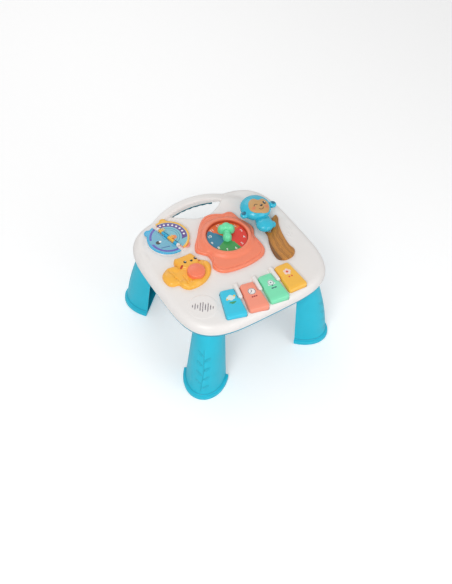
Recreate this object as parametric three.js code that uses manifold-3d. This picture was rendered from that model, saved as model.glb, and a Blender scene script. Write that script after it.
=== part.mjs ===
import * as THREE from 'three';
import { mergeVertices } from 'three/addons/utils/BufferGeometryUtils.js';
import Module from 'manifold-3d';

// Musical activity table for small children, in millimetres, +Z up. The origin lies on the
// floor under the middle of the table. +Y points from the piano keys to the carrying handle.

const wasm = await Module();
wasm.setup();

// General sizes
const seatGap = 0.3;            // between pieces that rest on or are seated in each other
const runningGap = 0.8;         // round pieces that move in an opening
const overrun = 3;              // how far a cut runs past what it cuts
const wall = 2.6;               // moulded wall of the shells
const weld = 0.0005;            // vertices closer than this are one
const roundSides = 20;
const smallSides = 10;
const screwSides = 8;

// Table body
const tableHalfWidth = 180;
const tableHalfDepth = 170.5;
const toySpan = Math.min(tableHalfWidth, tableHalfDepth);  // sets the size of the toys
const outlinePowerShare = 0.5;  // superellipse of exponent 4
const outlineSteps = 44;
const legHeight = 181;          // floor to the underside of the base shell
const baseDepth = 12.7;
const baseFloor = 3.5;
const baseRound = 10;
const baseSetback = 1.2;        // base shell's rim inside the cover's rim
const rimRise = 20;
const rimRound = 16;
const rimSteps = 3;
const rimHeight = legHeight + baseDepth + seatGap;
const topHeight = rimHeight + rimRise;
const ceiling = topHeight - wall;
const floorTop = legHeight + baseFloor;

// Bay behind the body, which leaves room for the hand, and the handle that spans it
const bayDepth = 0.28446 * toySpan;
const bayHalfWidth = 0.41642 * toySpan;
const bayX = 0.05 * tableHalfWidth;
const bayPoints = 27;
const bayShares = [[-1.25, 1.7], [-1.03, 0.95], [-0.62, 0.46], [-0.22, 0.09], [0.1, 0],
  [0.45, 0.12], [0.8, 0.42], [1.0, 0.85], [1.2, 1.7]];
const handleReach = 0.99824 * tableHalfDepth;  // middle line of the grip, behind the table's middle
const handleX = -0.04444 * tableHalfWidth;
const handleSag = 0.20528 * toySpan;
const handleHalfSpan = 0.64516 * toySpan;
const handleHalfWidth = 9.8;
const handleDrop = 13;            // top of the table to the underside of the handle
const handleBottom = topHeight - handleDrop;
const handleLowerHeight = 8.5;
const handleLift = 10.5;
const handleTop = topHeight + handleLift;
const handleEndSpanShare = 0.86;
const handleSteps = 10;

// Mound beside the right end of the handle
const moundX = 0.48889 * tableHalfWidth;
const moundY = 0.71554 * tableHalfDepth;
const moundHalfLength = 0.26979 * toySpan;
const moundHalfWidth = 0.14663 * toySpan;
const moundRise = 8;
const moundTurn = -38;          // degrees

// Legs
const footX = 0.69667 * tableHalfWidth;
const footY = 0.69971 * tableHalfDepth;
const legAngle = 48;            // degrees between the outward direction and the X axis
const legDrawInShare = 0.087;   // how much nearer the middle the top of a leg stands
const footReach = 0.36716 * toySpan;
const footHalfWidth = 0.261 * toySpan;
const legTopReach = 0.19941 * toySpan;
const legTopHalfWidth = 0.18475 * toySpan;
const legWall = 3;
const soleHeight = 4;
const flangeOut = 5.6;
const flangeHeight = 11;
const plugLength = 15;
const plugStep = 3.2;           // shoulder between the leg and its plug
const socketWall = 2.4;
const legSteps = 12;
const legLevelCount = 5;
const legCurvePower = 2;        // how the outer side of a leg curves in towards its top

// Piano keys
const keyboardX = 0.03667 * tableHalfWidth;
const keyboardY = -0.51613 * tableHalfDepth;
const keyPitch = 0.25806 * toySpan;
const keyBow = 0.01701 * toySpan;
const keyLean = 8.5;            // degrees, middle of the keyboard
const keyLeanStep = 4.33;
const keyLength = 0.41056 * toySpan;
const keySetback = 6;           // pivot to the rear edge of the cap
const keyFrontWidth = 0.26393 * toySpan;
const keyRearWidth = 0.19941 * toySpan;
const keyCorner = 6;
const keyRise = 9;
const keySkirt = 8;             // part of the key below the top of the table
const keyRound = 2.6;
const keyWall = 2.2;
const keyInset = 3;             // top wall of the key
const fingerWidth = 0.07038 * toySpan;
const fingerLength = 0.17595 * toySpan;
const fingerOffset = 2;
const fingerRise = 8;
const fingerRoundSteps = 2;
const tongueWidth = 14;
const tongueHeight = 4;
const trunnionRadius = 2.3;
const trunnionLength = 24;
const pivotDrop = 7.8;
const pivotHeight = topHeight - pivotDrop;
const cheekThickness = 3;
const cheekHalfWidth = 4.6;
const trunnionHoleRadius = 2.75;
const plungerDistance = 0.26979 * toySpan;  // pivot to the plunger
const plungerRadius = 2.5;
const domeRadius = 4.2;
const domeHeight = 4;

// Keyboard frame and circuit board
const frameHalfWidth = 0.46921 * toySpan;
const frameFrontReach = 0.02346 * toySpan;  // past the plungers
const frameRearReach = 0.10557 * toySpan;   // past the pivots
const frameFront = keyboardY - plungerDistance - frameFrontReach;
const frameRear = keyboardY + frameRearReach;
const frameRearHalfWidth = 0.51613 * toySpan;
const frameRearDepth = 28;
const frameLift = 10.5;           // above the floor of the base shell
const frameBottom = floorTop + frameLift;
const frameThickness = 2.4;
const frameFootRadius = 4;
const boardThickness = 1.6;
const boardMargin = 1;          // frame beyond the board
const boardDepth = 25;
const boardHalfWidth = frameHalfWidth - boardMargin;
const boardFront = frameFront + boardMargin;
const boardRear = boardFront + boardDepth;

// Dial
const dialX = 0.09111 * tableHalfWidth;
const dialY = 0.20645 * tableHalfDepth;
const panelReach = 0.55132 * toySpan;
const panelShares = [[0.0196, 0.70], [0.0551, 0.69], [0.0908, 0.70], [0.1216, 0.785],
  [0.1403, 0.84], [0.1586, 0.83], [0.1808, 0.775], [0.2236, 0.815], [0.2578, 0.84],
  [0.2866, 0.81], [0.3307, 0.735], [0.4027, 0.685], [0.4721, 0.79], [0.4996, 0.824],
  [0.5227, 0.764], [0.5548, 0.70], [0.5902, 0.79], [0.6059, 0.93], [0.6266, 1.0],
  [0.6504, 1.02], [0.6814, 0.978], [0.7186, 0.936], [0.7652, 0.924], [0.8235, 0.952],
  [0.8486, 0.935], [0.8703, 0.862], [0.9009, 0.735], [0.934, 0.65], [0.9853, 0.70]];
const panelPointsPerShare = 2;
const panelRise = 7.4;
const panelRound = 3.4;
const dishFootRadius = 0.36364 * toySpan;
const dishRimRadius = 0.31085 * toySpan;
const dishRimRound = 2.6;
const dishRise = 15;
const windowRadius = 0.26569 * toySpan;
const discRadius = 0.26334 * toySpan;
const discThickness = 2;
const discDepth = 9.2;          // top of the dish rim to the seat of the disc
const knobLift = 0.8;
const knobTurn = -26;           // degrees from the rear to the canopy
const canopyOffset = 0.09971 * toySpan;
const canopyHalfWidth = 0.10674 * toySpan;
const canopyHalfLength = 0.07449 * toySpan;
const canopyRise = 18;
const stemOffset = 0.04399 * toySpan;
const stemHalfWidth = 0.06686 * toySpan;
const stemHalfLength = 0.06628 * toySpan;
const stemRise = 16.5;
const knobHubHalfWidth = 0.04692 * toySpan;
const knobHubHalfLength = 0.05865 * toySpan;
const shaftRadius = 4;
const shaftHoleRadius = 4.6;
const switchSide = 16;
const switchHeight = 7;

// Flip book
const bookX = -0.51389 * tableHalfWidth;
const bookY = 0.58065 * tableHalfDepth;
const bookRadius = 0.26979 * toySpan;
const bookTurn = 13.5;          // degrees between the hinge line and the Y axis
const pageThickness = 3;
const pageInset = 4.6;          // hinge axis to the straight edge of a page
const bookRodRadius = 1.2;
const knuckleRadius = 3.2;
const knuckleBore = 1.6;
const bookHalfHinge = 0.16422 * toySpan;
const knuckleCount = 6;
const knuckleGap = 0.4;
const lugLength = 5;
const lugRadius = 4;
const tabHalfWidth = 0.04692 * toySpan;
const blueTabTurn = 60;           // degrees round the middle of the book
const pinkTabTurn = -68;
const yellowTabTurn = 62;
const tabReach = 0.04106 * toySpan;
const bookStand = 2;            // raised round rest under the pages

// Lion and its drum
const lionX = -0.58889 * tableHalfWidth;
const lionY = -0.04692 * tableHalfDepth;
const lionSpan = 0.32845 * toySpan;
const lionBodyShares = [[-0.1, 0.5], [0.25, 0.5], [0.62, 0.42], [0.8, 0.277], [0.95, 0],
  [0.788, -0.335], [0.524, -0.56], [0.201, -0.686], [-0.139, -0.699], [-0.353, -0.65],
  [-0.498, -0.487], [-0.563, -0.304], [-0.741, -0.255], [-0.87, -0.179], [-0.939, 0.029],
  [-0.934, 0.249], [-0.883, 0.383], [-0.735, 0.506], [-0.552, 0.583], [-0.39, 0.562],
  [-0.26, 0.515]];
const lionHeadShares = [[-0.136, 0.801], [-0.038, 0.773], [0.27, 0.757], [0.531, 0.747],
  [0.584, 0.656], [0.636, 0.415], [0.6, 0.2], [0.38, 0.05], [0.06, 0.06], [-0.14, 0.22],
  [-0.2, 0.45], [-0.233, 0.665]];
const figurePointsPerShare = 2;
const lionBodyRise = 9;
const lionHeadRise = 14;
const lionRound = 3.4;
const drumX = -0.515 * tableHalfWidth;
const drumY = -0.10557 * tableHalfDepth;
const drumRadius = 0.1085 * toySpan;
const drumRise = 20;
const drumRound = 3;
const drumFlange = 2.4;
const drumWall = 2.4;
const drumBoardHalf = 0.09384 * toySpan;

// Monkey and its trunk
const trunkX = 0.6 * tableHalfWidth;
const trunkY = -0.1173 * tableHalfDepth;
const trunkSpan = 0.35191 * toySpan;
const trunkShares = [[0.672, 1.007], [0.665, 0.838], [0.538, 0.627], [0.367, 0.163],
  [0.253, -0.457], [0.283, -0.745], [0.092, -0.953], [-0.282, -0.973], [-0.478, -0.805],
  [-0.46, -0.445], [-0.34, -0.057], [-0.16, 0.332], [-0.142, 0.567], [-0.067, 0.8],
  [0.083, 0.925], [0.25, 0.917], [0.383, 0.908], [0.537, 0.97]];
const trunkRise = 5.4;
const trunkRound = 2.2;
const monkeyHeadX = 0.60222 * tableHalfWidth;
const monkeyHeadY = 0.37713 * tableHalfDepth;
const monkeyHeadRadius = 0.20117 * toySpan;
const monkeyHeadHalfHeight = 19.2;
const monkeyBodyX = 0.56667 * tableHalfWidth;
const monkeyBodyY = 0.09971 * tableHalfDepth;
const monkeyBodyHalfWidth = 0.11437 * toySpan;
const monkeyBodyHalfLength = 0.11144 * toySpan;
const monkeyBodyHalfHeight = 12.3;
const monkeyHandX = 0.66111 * tableHalfWidth;
const monkeyHandY = 0.07331 * tableHalfDepth;
const monkeyHandRadius = 0.04692 * toySpan;
const monkeyHandHalfHeight = 7.6;
const earPlaceShares = [[-0.19883, -0.03871], [0.22346, -0.06041]];  // from the head's middle
const earRadius = 0.05279 * toySpan;
const earHalfHeight = 6.5;
const faceHalfWidth = 0.13666 * toySpan;
const faceHalfHeight = 0.11144 * toySpan;
const faceOffsetX = 0.00352 * toySpan;
const faceOffsetY = -0.06628 * toySpan;
const faceTurn = -24;           // degrees
const faceThickness = 1.6;
const faceShares = [[0, -0.926], [0.5, -0.86], [0.9, -0.5], [1.0, 0.1], [0.86, 0.7],
  [0.45, 1.0], [0, 0.74], [-0.45, 1.0], [-0.86, 0.7], [-1.0, 0.1], [-0.9, -0.5],
  [-0.5, -0.86]];
const slideX = 0.63611 * tableHalfWidth;
const slideY = 0.15543 * tableHalfDepth;
const slideAngle = 71.6;        // degrees from the X axis, pointing back up the trunk
const slideTravel = 0.1173 * toySpan;
const slideStemRadius = 5;
const slideSlotGap = 0.5;
const carriageHalf = 12;
const carriageThickness = 3;
const slideScrewRadius = 1.6;
const slideScrewHead = 4.5;
const slideScrewHeadHeight = 2.4;
const slideScrewDepth = 9;

// Speaker
const speakerX = -0.68889 * tableHalfWidth;
const speakerY = -0.56305 * tableHalfDepth;
const speakerRadius = 0.11437 * toySpan;
const speakerFlange = 2;
const speakerDepth = 10.5;
const speakerConeRadius = 10;
const magnetRadius = 9;
const magnetHeight = 4;
const speakerRingWall = 2;
const speakerRingHeight = 5;
const slotCount = 9;
const slotPitch = 5.2;
const slotWidth = 1.9;
const slotTurn = -34.5;         // degrees of the row of slots
const slotLengthShares = [0.30, 0.62, 0.45, 0.85, 1.0, 0.66, 0.9, 0.5, 0.28];
const slotLength = 26;

// Battery case, door and power switch
const caseX = 0.01111 * tableHalfWidth;
const caseY = 0.19941 * tableHalfDepth;
const cellRadius = 7.1;
const cellLength = 49;
const cellNubRadius = 2.7;
const cellNub = 1.2;
const cellCount = 3;
const cellSides = 14;
const cellPitch = 15;
const contactThickness = 0.5;
const contactGap = 0.9;
const caseWall = 2;
const caseCrown = 1.4;
const doorThickness = 2.5;
const doorTongue = 11;
const doorHingeGap = 1.7;
const doorGap = 0.5;
const barHeight = 4;
const barWidth = 8;
const doorScrewRadius = 1.4;
const doorScrewHead = 2.8;
const doorScrewHeadHeight = 1.5;
const doorScrewLength = 7;
const doorScrewHole = 3.2;
const powerX = 0.38889 * tableHalfWidth;
const powerY = 0.02346 * tableHalfDepth;
const powerTravel = 3;
const powerKnobHalf = 3;
const powerKnobHalfDepth = 2;
const powerKnobDrop = 1.5;
const powerBodyHalfX = 11;
const powerBodyHalfY = 5;
const powerBodyHeight = 6;

// Case screws
const bossRadius = 4.6;
const screwRadius = 1.4;
const screwHeadRadius = 3;
const screwHeadHeight = 2.2;
const screwLength = 18;
const screwHoleGap = 0.4;
const counterboreDepth = 4.5;
const bossHeight = 15;
const bossTop = legHeight + bossHeight;
const screwShares = [
  ['front_left', -0.3333, -0.3402], ['front_right', 0.3444, -0.3402],
  ['left_front', -0.8889, -0.2639], ['right_front', 0.8889, -0.2639],
  ['left_rear', -0.8889, 0.2639], ['right_rear', 0.8889, 0.2639],
  ['rear_left', -0.4556, 0.8680], ['rear_right', 0.5611, 0.8622],
];
const screwPlaces = screwShares.map(
  ([name, u, v]) => [name, u * tableHalfWidth, v * tableHalfDepth]);

// Colours and finishes of the moulded plastics and the metal parts
const plastic = (color) => new THREE.MeshStandardMaterial({ color, roughness: 0.4, metalness: 0 });
const metal = (color) => new THREE.MeshStandardMaterial({ color, roughness: 0.4, metalness: 1 });
const finishes = {
  white: plastic(0xe9e4e2),
  teal: plastic(0x2db2cd),
  darkTeal: plastic(0x1f7f96),
  coral: plastic(0xf58a6c),
  mint: plastic(0x7fdcae),
  amber: plastic(0xf7b443),
  blue: plastic(0x3fb4dc),
  tan: plastic(0xc99a68),
  brown: plastic(0xa5773f),
  yellow: plastic(0xf6c64a),
  pink: plastic(0xf7a08c),
  keyBlue: plastic(0x35b2dd),
  dial: plastic(0xe97a3a),
  black: plastic(0x22252a),
  board: plastic(0x2c6b3f),
  rubber: plastic(0xb9bcbc),
  steel: metal(0xb8bcc0),
  cell: plastic(0x3a3f46),
};

const degrees = THREE.MathUtils.degToRad;
const parts = new THREE.Group();

// Closed solids from three.js geometry

function bareMesh(geometry) {
  const bare = geometry.clone();
  bare.deleteAttribute('normal');
  bare.deleteAttribute('uv');
  return mergeVertices(bare, weld);
}

function signedVolume(position, triangles) {
  const corner = (index) => new THREE.Vector3().fromArray(position, 3 * index);
  let sum = 0;
  for (let i = 0; i < triangles.length; i += 3) {
    const [a, b, c] = [corner(triangles[i]), corner(triangles[i + 1]), corner(triangles[i + 2])];
    sum += a.dot(b.cross(c));
  }
  return sum;
}

function solid(geometry) {
  const merged = bareMesh(geometry);
  const position = Float32Array.from(merged.attributes.position.array);
  const triangles = [];
  const index = merged.index.array;
  for (let i = 0; i < index.length; i += 3) {
    const [a, b, c] = [index[i], index[i + 1], index[i + 2]];
    if (a !== b && b !== c && c !== a) triangles.push(a, b, c);
  }
  if (signedVolume(position, triangles) < 0) triangles.reverse();
  const mesh = new wasm.Mesh({ numProp: 3, vertProperties: position,
    triVerts: Uint32Array.from(triangles) });
  return new wasm.Manifold(mesh);
}

function addMesh(name, body, material, group = parts) {
  const { vertProperties, triVerts } = body.getMesh();
  const geometry = new THREE.BufferGeometry();
  geometry.setAttribute('position', new THREE.BufferAttribute(Float32Array.from(vertProperties), 3));
  geometry.setIndex(new THREE.BufferAttribute(Uint32Array.from(triVerts), 1));
  geometry.computeVertexNormals();
  const mesh = new THREE.Mesh(geometry, material);
  mesh.name = name;
  group.add(mesh);
  return mesh;
}

const joined = (bodies) => bodies.reduce((sum, body) => sum.add(body));
const cut = (body, tools) => tools.reduce((rest, tool) => rest.subtract(tool), body);

function box(x0, x1, y0, y1, z0, z1, matrix = new THREE.Matrix4()) {
  const geometry = new THREE.BoxGeometry(x1 - x0, y1 - y0, z1 - z0);
  geometry.translate((x0 + x1) / 2, (y0 + y1) / 2, (z0 + z1) / 2);
  return solid(geometry.applyMatrix4(matrix));
}

function post(radius, x, y, z0, z1, sides = roundSides, matrix = new THREE.Matrix4()) {
  const geometry = new THREE.CylinderGeometry(radius, radius, z1 - z0, sides);
  geometry.rotateX(Math.PI / 2).translate(x, y, (z0 + z1) / 2);
  return solid(geometry.applyMatrix4(matrix));
}

function bar(from, to, radius, sides = smallSides, matrix = new THREE.Matrix4()) {
  const along = to.clone().sub(from);
  const geometry = new THREE.CylinderGeometry(radius, radius, along.length(), sides);
  const turn = new THREE.Quaternion().setFromUnitVectors(new THREE.Vector3(0, 1, 0),
    along.clone().normalize());
  geometry.applyQuaternion(turn);
  geometry.translate(...from.clone().add(to).divideScalar(2).toArray());
  return solid(geometry.applyMatrix4(matrix));
}

function ellipsoid(x, y, z, halfX, halfY, halfZ, around = roundSides, turn = 0) {
  const geometry = new THREE.SphereGeometry(1, around, Math.round(around / 2));
  geometry.rotateX(Math.PI / 2).scale(halfX, halfY, halfZ);
  geometry.rotateZ(degrees(turn)).translate(x, y, z);
  return solid(geometry);
}

// profile is a list of [radius, height] that starts and ends on the axis
function turned(profile, x, y, sides = roundSides) {
  const geometry = new THREE.LatheGeometry(profile.map(([r, h]) => new THREE.Vector2(r, h)), sides);
  return solid(geometry.rotateX(Math.PI / 2).translate(x, y, 0));
}

// prism over an outline of Vector2 points
function prism(outline, z0, z1, grow = 0, matrix = new THREE.Matrix4()) {
  const options = { depth: z1 - z0, bevelEnabled: grow !== 0, bevelThickness: 0, bevelSize: grow,
    bevelSegments: 1 };
  const geometry = new THREE.ExtrudeGeometry(new THREE.Shape(outline), options);
  return solid(geometry.translate(0, 0, z0).applyMatrix4(matrix));
}

// outline moved inwards by inset, each point along the bisector of its neighbours
function insetOutline(outline, inset) {
  const count = outline.length;
  return outline.map((point, i) => {
    const along = outline[(i + 1) % count].clone().sub(outline[(i + count - 1) % count]).normalize();
    return new THREE.Vector2(point.x - along.y * inset, point.y + along.x * inset);
  });
}

// prism with a rounded upper edge and a flat underside
function raised(outline, z0, z1, round, steps = 2, matrix = new THREE.Matrix4()) {
  const base = THREE.ShapeUtils.isClockWise(outline) ? outline.slice().reverse() : outline;
  const count = base.length;
  const levels = [[0, z0]];
  for (let i = 0; i <= steps; i += 1) {
    const turn = i / steps * Math.PI / 2;
    levels.push([round * (1 - Math.cos(turn)), z1 - round + round * Math.sin(turn)]);
  }
  const rings = levels.map(([inset, z]) => insetOutline(base, inset)
    .map((p) => new THREE.Vector3(p.x, p.y, z)));
  const triangles = [];
  rings.slice(1).forEach((ring, r) => {
    for (let i = 0; i < count; i += 1) {
      const [a, b] = [r * count + i, r * count + (i + 1) % count];
      triangles.push(a, b, b + count, a, b + count, a + count);
    }
  });
  const cap = THREE.ShapeUtils.triangulateShape(base, []);
  const last = (rings.length - 1) * count;
  cap.forEach(([a, b, c]) => triangles.push(c, b, a, last + a, last + b, last + c));
  const geometry = new THREE.BufferGeometry().setFromPoints(rings.flat());
  geometry.setIndex(triangles);
  return solid(geometry.applyMatrix4(matrix));
}

// body through rings with equal numbers of points, closed by a fan at each end
function loft(rings) {
  const count = rings[0].length;
  const points = rings.flat();
  const triangles = [];
  rings.slice(1).forEach((ring, r) => {
    for (let i = 0; i < count; i += 1) {
      const [a, b] = [r * count + i, r * count + (i + 1) % count];
      triangles.push(a, b, b + count, a, b + count, a + count);
    }
  });
  [rings[0], rings[rings.length - 1]].forEach((ring, end) => {
    const middle = ring.reduce((sum, p) => sum.add(p), new THREE.Vector3()).divideScalar(count);
    const first = end * (rings.length - 1) * count;
    points.push(middle);
    for (let i = 0; i < count; i += 1) {
      const pair = [first + i, first + (i + 1) % count];
      if (end === 0) pair.reverse();
      triangles.push(points.length - 1, ...pair);
    }
  });
  const geometry = new THREE.BufferGeometry().setFromPoints(points);
  geometry.setIndex(triangles);
  return solid(geometry);
}

const smooth = (points, count) => new THREE.CatmullRomCurve3(
  points.map((p) => new THREE.Vector3(p.x, p.y, 0)), true, 'centripetal').getPoints(count).slice(0,
    -1)
  .map((p) => new THREE.Vector2(p.x, p.y));

const scaledOutline = (shares, halfX, halfY, x, y, turn = 0) => shares.map(
  ([u, v]) => new THREE.Vector2(u * halfX, v * halfY).rotateAround(new THREE.Vector2(), degrees(turn))
    .add(new THREE.Vector2(x, y)));

// Outline of the table, drawn in by inset, as a ring at height z
function tableRing(inset, z) {
  const ring = [];
  for (let i = 0; i < outlineSteps; i += 1) {
    const turn = (i + 0.5) / outlineSteps * 2 * Math.PI;
    const [c, s] = [Math.cos(turn), Math.sin(turn)];
    const x = (tableHalfWidth - inset) * Math.sign(c) * Math.abs(c) ** outlinePowerShare;
    const y = (tableHalfDepth - inset) * Math.sign(s) * Math.abs(s) ** outlinePowerShare;
    ring.push(new THREE.Vector3(x, y, z));
  }
  return ring;
}

// Bay cut for the hand, grown by a wall where a cavity must keep clear of it
function bay(grow, z0, z1) {
  const top = tableHalfDepth - bayDepth;
  const outline = smooth(scaledOutline(bayShares, bayHalfWidth, bayDepth, bayX, top), bayPoints);
  return prism(outline, z0, z1, grow);
}

// Top cover

function domeRings(inset, lift) {
  const rings = [tableRing(inset, rimHeight - lift)];
  for (let i = 0; i <= rimSteps; i += 1) {
    const turn = i / rimSteps * Math.PI / 2;
    const z = rimHeight + (rimRise - inset) * Math.sin(turn);
    rings.push(tableRing(inset + rimRound * (1 - Math.cos(turn)), z));
  }
  return lift > 0 ? rings : rings.slice(1);
}

// half-round section of the grip, flat at z0 and rounded towards z1
function handleRing(share, z0, z1) {
  const span = handleHalfSpan * handleEndSpanShare;
  const along = share * span;
  const x = handleX + along;
  const y = handleReach - handleSag * (along / handleHalfSpan) ** 2;
  const slope = -2 * handleSag * along / handleHalfSpan ** 2;
  const out = new THREE.Vector2(-slope, 1).normalize();
  const ring = [];
  for (let i = 0; i <= smallSides; i += 1) {
    const turn = i / smallSides * Math.PI;
    const across = Math.sign(Math.cos(turn)) * Math.abs(Math.cos(turn)) ** outlinePowerShare;
    const reach = handleHalfWidth * across;
    const rise = z0 + (z1 - z0) * Math.max(Math.sin(turn), 0) ** outlinePowerShare;
    ring.push(new THREE.Vector3(x + out.x * reach, y + out.y * reach, rise));
  }
  return ring;
}

function handleUpper() {
  const z0 = handleBottom + handleLowerHeight + seatGap;
  const rings = [];
  for (let i = 0; i <= handleSteps; i += 1) {
    const share = 2 * i / handleSteps - 1;
    const fall = (handleTop - topHeight) * Math.abs(share) ** 3;
    rings.push(handleRing(share, z0, handleTop - fall));
  }
  return loft(rings);
}

function keyMatrix(place) {
  const x = keyboardX + keyPitch * place;
  const y = keyboardY + keyBow * place ** 2;
  const turn = new THREE.Matrix4().makeRotationZ(-degrees(keyLean - keyLeanStep * place));
  return new THREE.Matrix4().makeTranslation(x, y, 0).multiply(turn);
}

const keyPlaces = [-1.5, -0.5, 0.5, 1.5];
const fingerPlaces = [-1, 0, 1];

function roundedOutline(corners, radius, steps = 2) {
  const outline = [];
  corners.forEach((corner, i) => {
    const before = corners[(i + corners.length - 1) % corners.length].clone().sub(corner).normalize();
    const after = corners[(i + 1) % corners.length].clone().sub(corner).normalize();
    const start = corner.clone().add(before.multiplyScalar(radius));
    const end = corner.clone().add(after.multiplyScalar(radius));
    const curve = new THREE.QuadraticBezierCurve(start, corner, end);
    outline.push(...curve.getPoints(steps));
  });
  return outline.filter((point, i) =>
    point.distanceTo(outline[(i + 1) % outline.length]) > weld * steps);
}

// Outline of a key cap round its pivot, +Y to the rear
function keyOutline(grow) {
  const front = -keySetback - keyLength - grow;
  const rear = -keySetback + grow;
  const corners = [
    new THREE.Vector2(-keyFrontWidth / 2 - grow, front), new THREE.Vector2(keyFrontWidth / 2 + grow,
      front),
    new THREE.Vector2(keyRearWidth / 2 + grow, rear), new THREE.Vector2(-keyRearWidth / 2 - grow,
      rear),
  ];
  return roundedOutline(corners, keyCorner + grow);
}

function fingerOutline(grow) {
  const half = fingerWidth / 2 + grow;
  const front = -keySetback - fingerLength - grow;
  const corners = [
    new THREE.Vector2(-fingerOffset - half, front), new THREE.Vector2(-fingerOffset + half, front),
    new THREE.Vector2(-fingerOffset + half, keySetback), new THREE.Vector2(-fingerOffset - half,
      keySetback),
  ];
  return roundedOutline(corners, fingerWidth / 2);
}

function grilleSlots() {
  const slots = [];
  const frame = new THREE.Matrix4().makeTranslation(speakerX, speakerY, 0)
    .multiply(new THREE.Matrix4().makeRotationZ(degrees(slotTurn)));
  for (let i = 0; i < slotCount; i += 1) {
    const x = (i - (slotCount - 1) / 2) * slotPitch;
    const half = slotLength / 2 * slotLengthShares[i];
    slots.push(box(x - slotWidth / 2, x + slotWidth / 2, -half, half, ceiling - overrun,
      topHeight + overrun, frame));
  }
  return slots;
}

// Slot that lets a round stem of the given radius travel down the trunk
function slideSlot(radius, z0, z1) {
  const way = new THREE.Vector2(-Math.cos(degrees(slideAngle)), -Math.sin(degrees(slideAngle)));
  const side = new THREE.Vector2(-way.y, way.x);
  const start = new THREE.Vector2(slideX, slideY);
  const outline = [];
  for (let end = 0; end < 2; end += 1) {
    const middle = start.clone().addScaledVector(way, end * slideTravel);
    for (let i = 0; i <= smallSides / 2; i += 1) {
      const turn = i / (smallSides / 2) * Math.PI + end * Math.PI;
      const across = side.clone().multiplyScalar(Math.cos(turn) * radius);
      outline.push(middle.clone().add(across).addScaledVector(way, -Math.sin(turn) * radius));
    }
  }
  return prism(outline, z0, z1);
}

const bookFrame = new THREE.Matrix4().makeTranslation(bookX, bookY, 0)
  .multiply(new THREE.Matrix4().makeRotationZ(degrees(bookTurn)));
const restTop = topHeight + bookStand;
const bookAxis = restTop + seatGap + pageThickness + seatGap + pageThickness / 2;

function bookLugs() {
  return [-1, 1].map((end) => {
    const near = end * (bookHalfHinge + knuckleGap);
    const far = end * (bookHalfHinge + knuckleGap + lugLength);
    const [y0, y1] = [Math.min(near, far), Math.max(near, far)];
    const ear = bar(new THREE.Vector3(0, y0, bookAxis), new THREE.Vector3(0, y1, bookAxis), lugRadius,
      smallSides, bookFrame);
    return ear.add(box(-lugRadius, lugRadius, y0, y1, ceiling, bookAxis, bookFrame));
  });
}

function bookRodBore(grow) {
  const half = bookHalfHinge + knuckleGap + lugLength + grow;
  return bar(new THREE.Vector3(0, -half, bookAxis), new THREE.Vector3(0, half, bookAxis),
    bookRodRadius + grow, smallSides, bookFrame);
}

// hollow of the cover, which keeps a wall clear of the bay
function coverHollow() {
  const bayFat = bay(wall, rimHeight - 2 * overrun, handleTop + overrun);
  return loft(domeRings(wall, overrun)).subtract(bayFat);
}

function coverMound(bayCut) {
  const slab = box(-tableHalfWidth, tableHalfWidth, -tableHalfDepth, tableHalfDepth,
    ceiling, handleTop + overrun);
  return ellipsoid(moundX, moundY, topHeight, moundHalfLength, moundHalfWidth, moundRise,
    roundSides, moundTurn).intersect(slab).subtract(bayCut);
}

function speakerRing() {
  const outer = post(speakerRadius + seatGap + speakerRingWall, speakerX, speakerY,
    ceiling - speakerRingHeight, ceiling + wall / 2);
  const inner = post(speakerRadius + seatGap, speakerX, speakerY,
    ceiling - speakerRingHeight - overrun, ceiling);
  return outer.subtract(inner);
}

function coverOpenings() {
  const [under, over] = [ceiling - overrun, topHeight + overrun];
  const keyholes = keyPlaces.map((place) => prism(keyOutline(runningGap), rimHeight - overrun,
    over, 0, keyMatrix(place)));
  const pilots = screwPlaces.map(([, x, y]) => post(screwRadius + seatGap, x, y,
    bossTop - overrun, bossTop + screwLength - counterboreDepth, screwSides));
  return [
    ...keyholes, ...grilleSlots(), ...pilots, bookRodBore(seatGap),
    post(drumRadius + runningGap / 2, drumX, drumY, under, over),
    post(shaftHoleRadius, dialX, dialY, under, over, smallSides),
    slideSlot(slideStemRadius + slideSlotGap, under, over),
  ];
}

function makeTopCover() {
  const hollow = coverHollow();
  const bayCut = bay(0, rimHeight - overrun, handleTop + overrun);
  const shell = loft(domeRings(0, 0)).subtract(bayCut).subtract(hollow);
  const bosses = screwPlaces.map(([, x, y]) => post(bossRadius, x, y,
    bossTop + seatGap, ceiling + wall / 2, screwSides));
  const stand = post(bookRadius, bookX, bookY, ceiling + wall / 2, restTop, 2 * roundSides);
  const inside = box(-tableHalfWidth, tableHalfWidth, 0, tableHalfDepth, 0, ceiling);
  const handle = handleUpper().subtract(hollow.intersect(inside));
  const cover = joined([shell, coverMound(bayCut), speakerRing(), stand, handle,
    ...bookLugs(), ...bosses]);
  const fingers = fingerPlaces.map((place) => raised(fingerOutline(0), ceiling,
    topHeight + fingerRise, keyRound, fingerRoundSteps, keyMatrix(place)));
  return joined([cut(cover, coverOpenings()), ...fingers]);
}

addMesh('top_cover', makeTopCover(), finishes.white);

function makeHandleLower() {
  const rings = [];
  for (let i = 0; i <= handleSteps; i += 1) {
    rings.push(handleRing(2 * i / handleSteps - 1, handleBottom + handleLowerHeight, handleBottom));
  }
  return loft(rings).intersect(bay(-seatGap, handleBottom - overrun, topHeight));
}

addMesh('handle_lower', makeHandleLower(), finishes.darkTeal);

// Legs, which are half tubes that open towards the middle of the table

const corners = [
  ['front_left', -1, -1], ['front_right', 1, -1], ['rear_left', -1, 1], ['rear_right', 1, 1],
];

function legMatrix([, sideX, sideY]) {
  const turn = Math.atan2(sideY * Math.sin(degrees(legAngle)), sideX * Math.cos(degrees(legAngle)));
  return new THREE.Matrix4().makeRotationZ(turn);
}

// Middle of the leg's flat side at height z
function legMiddle([, sideX, sideY], z) {
  const share = 1 - legDrawInShare * z / legHeight;
  return new THREE.Vector3(sideX * footX * share, sideY * footY * share, z);
}

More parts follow.
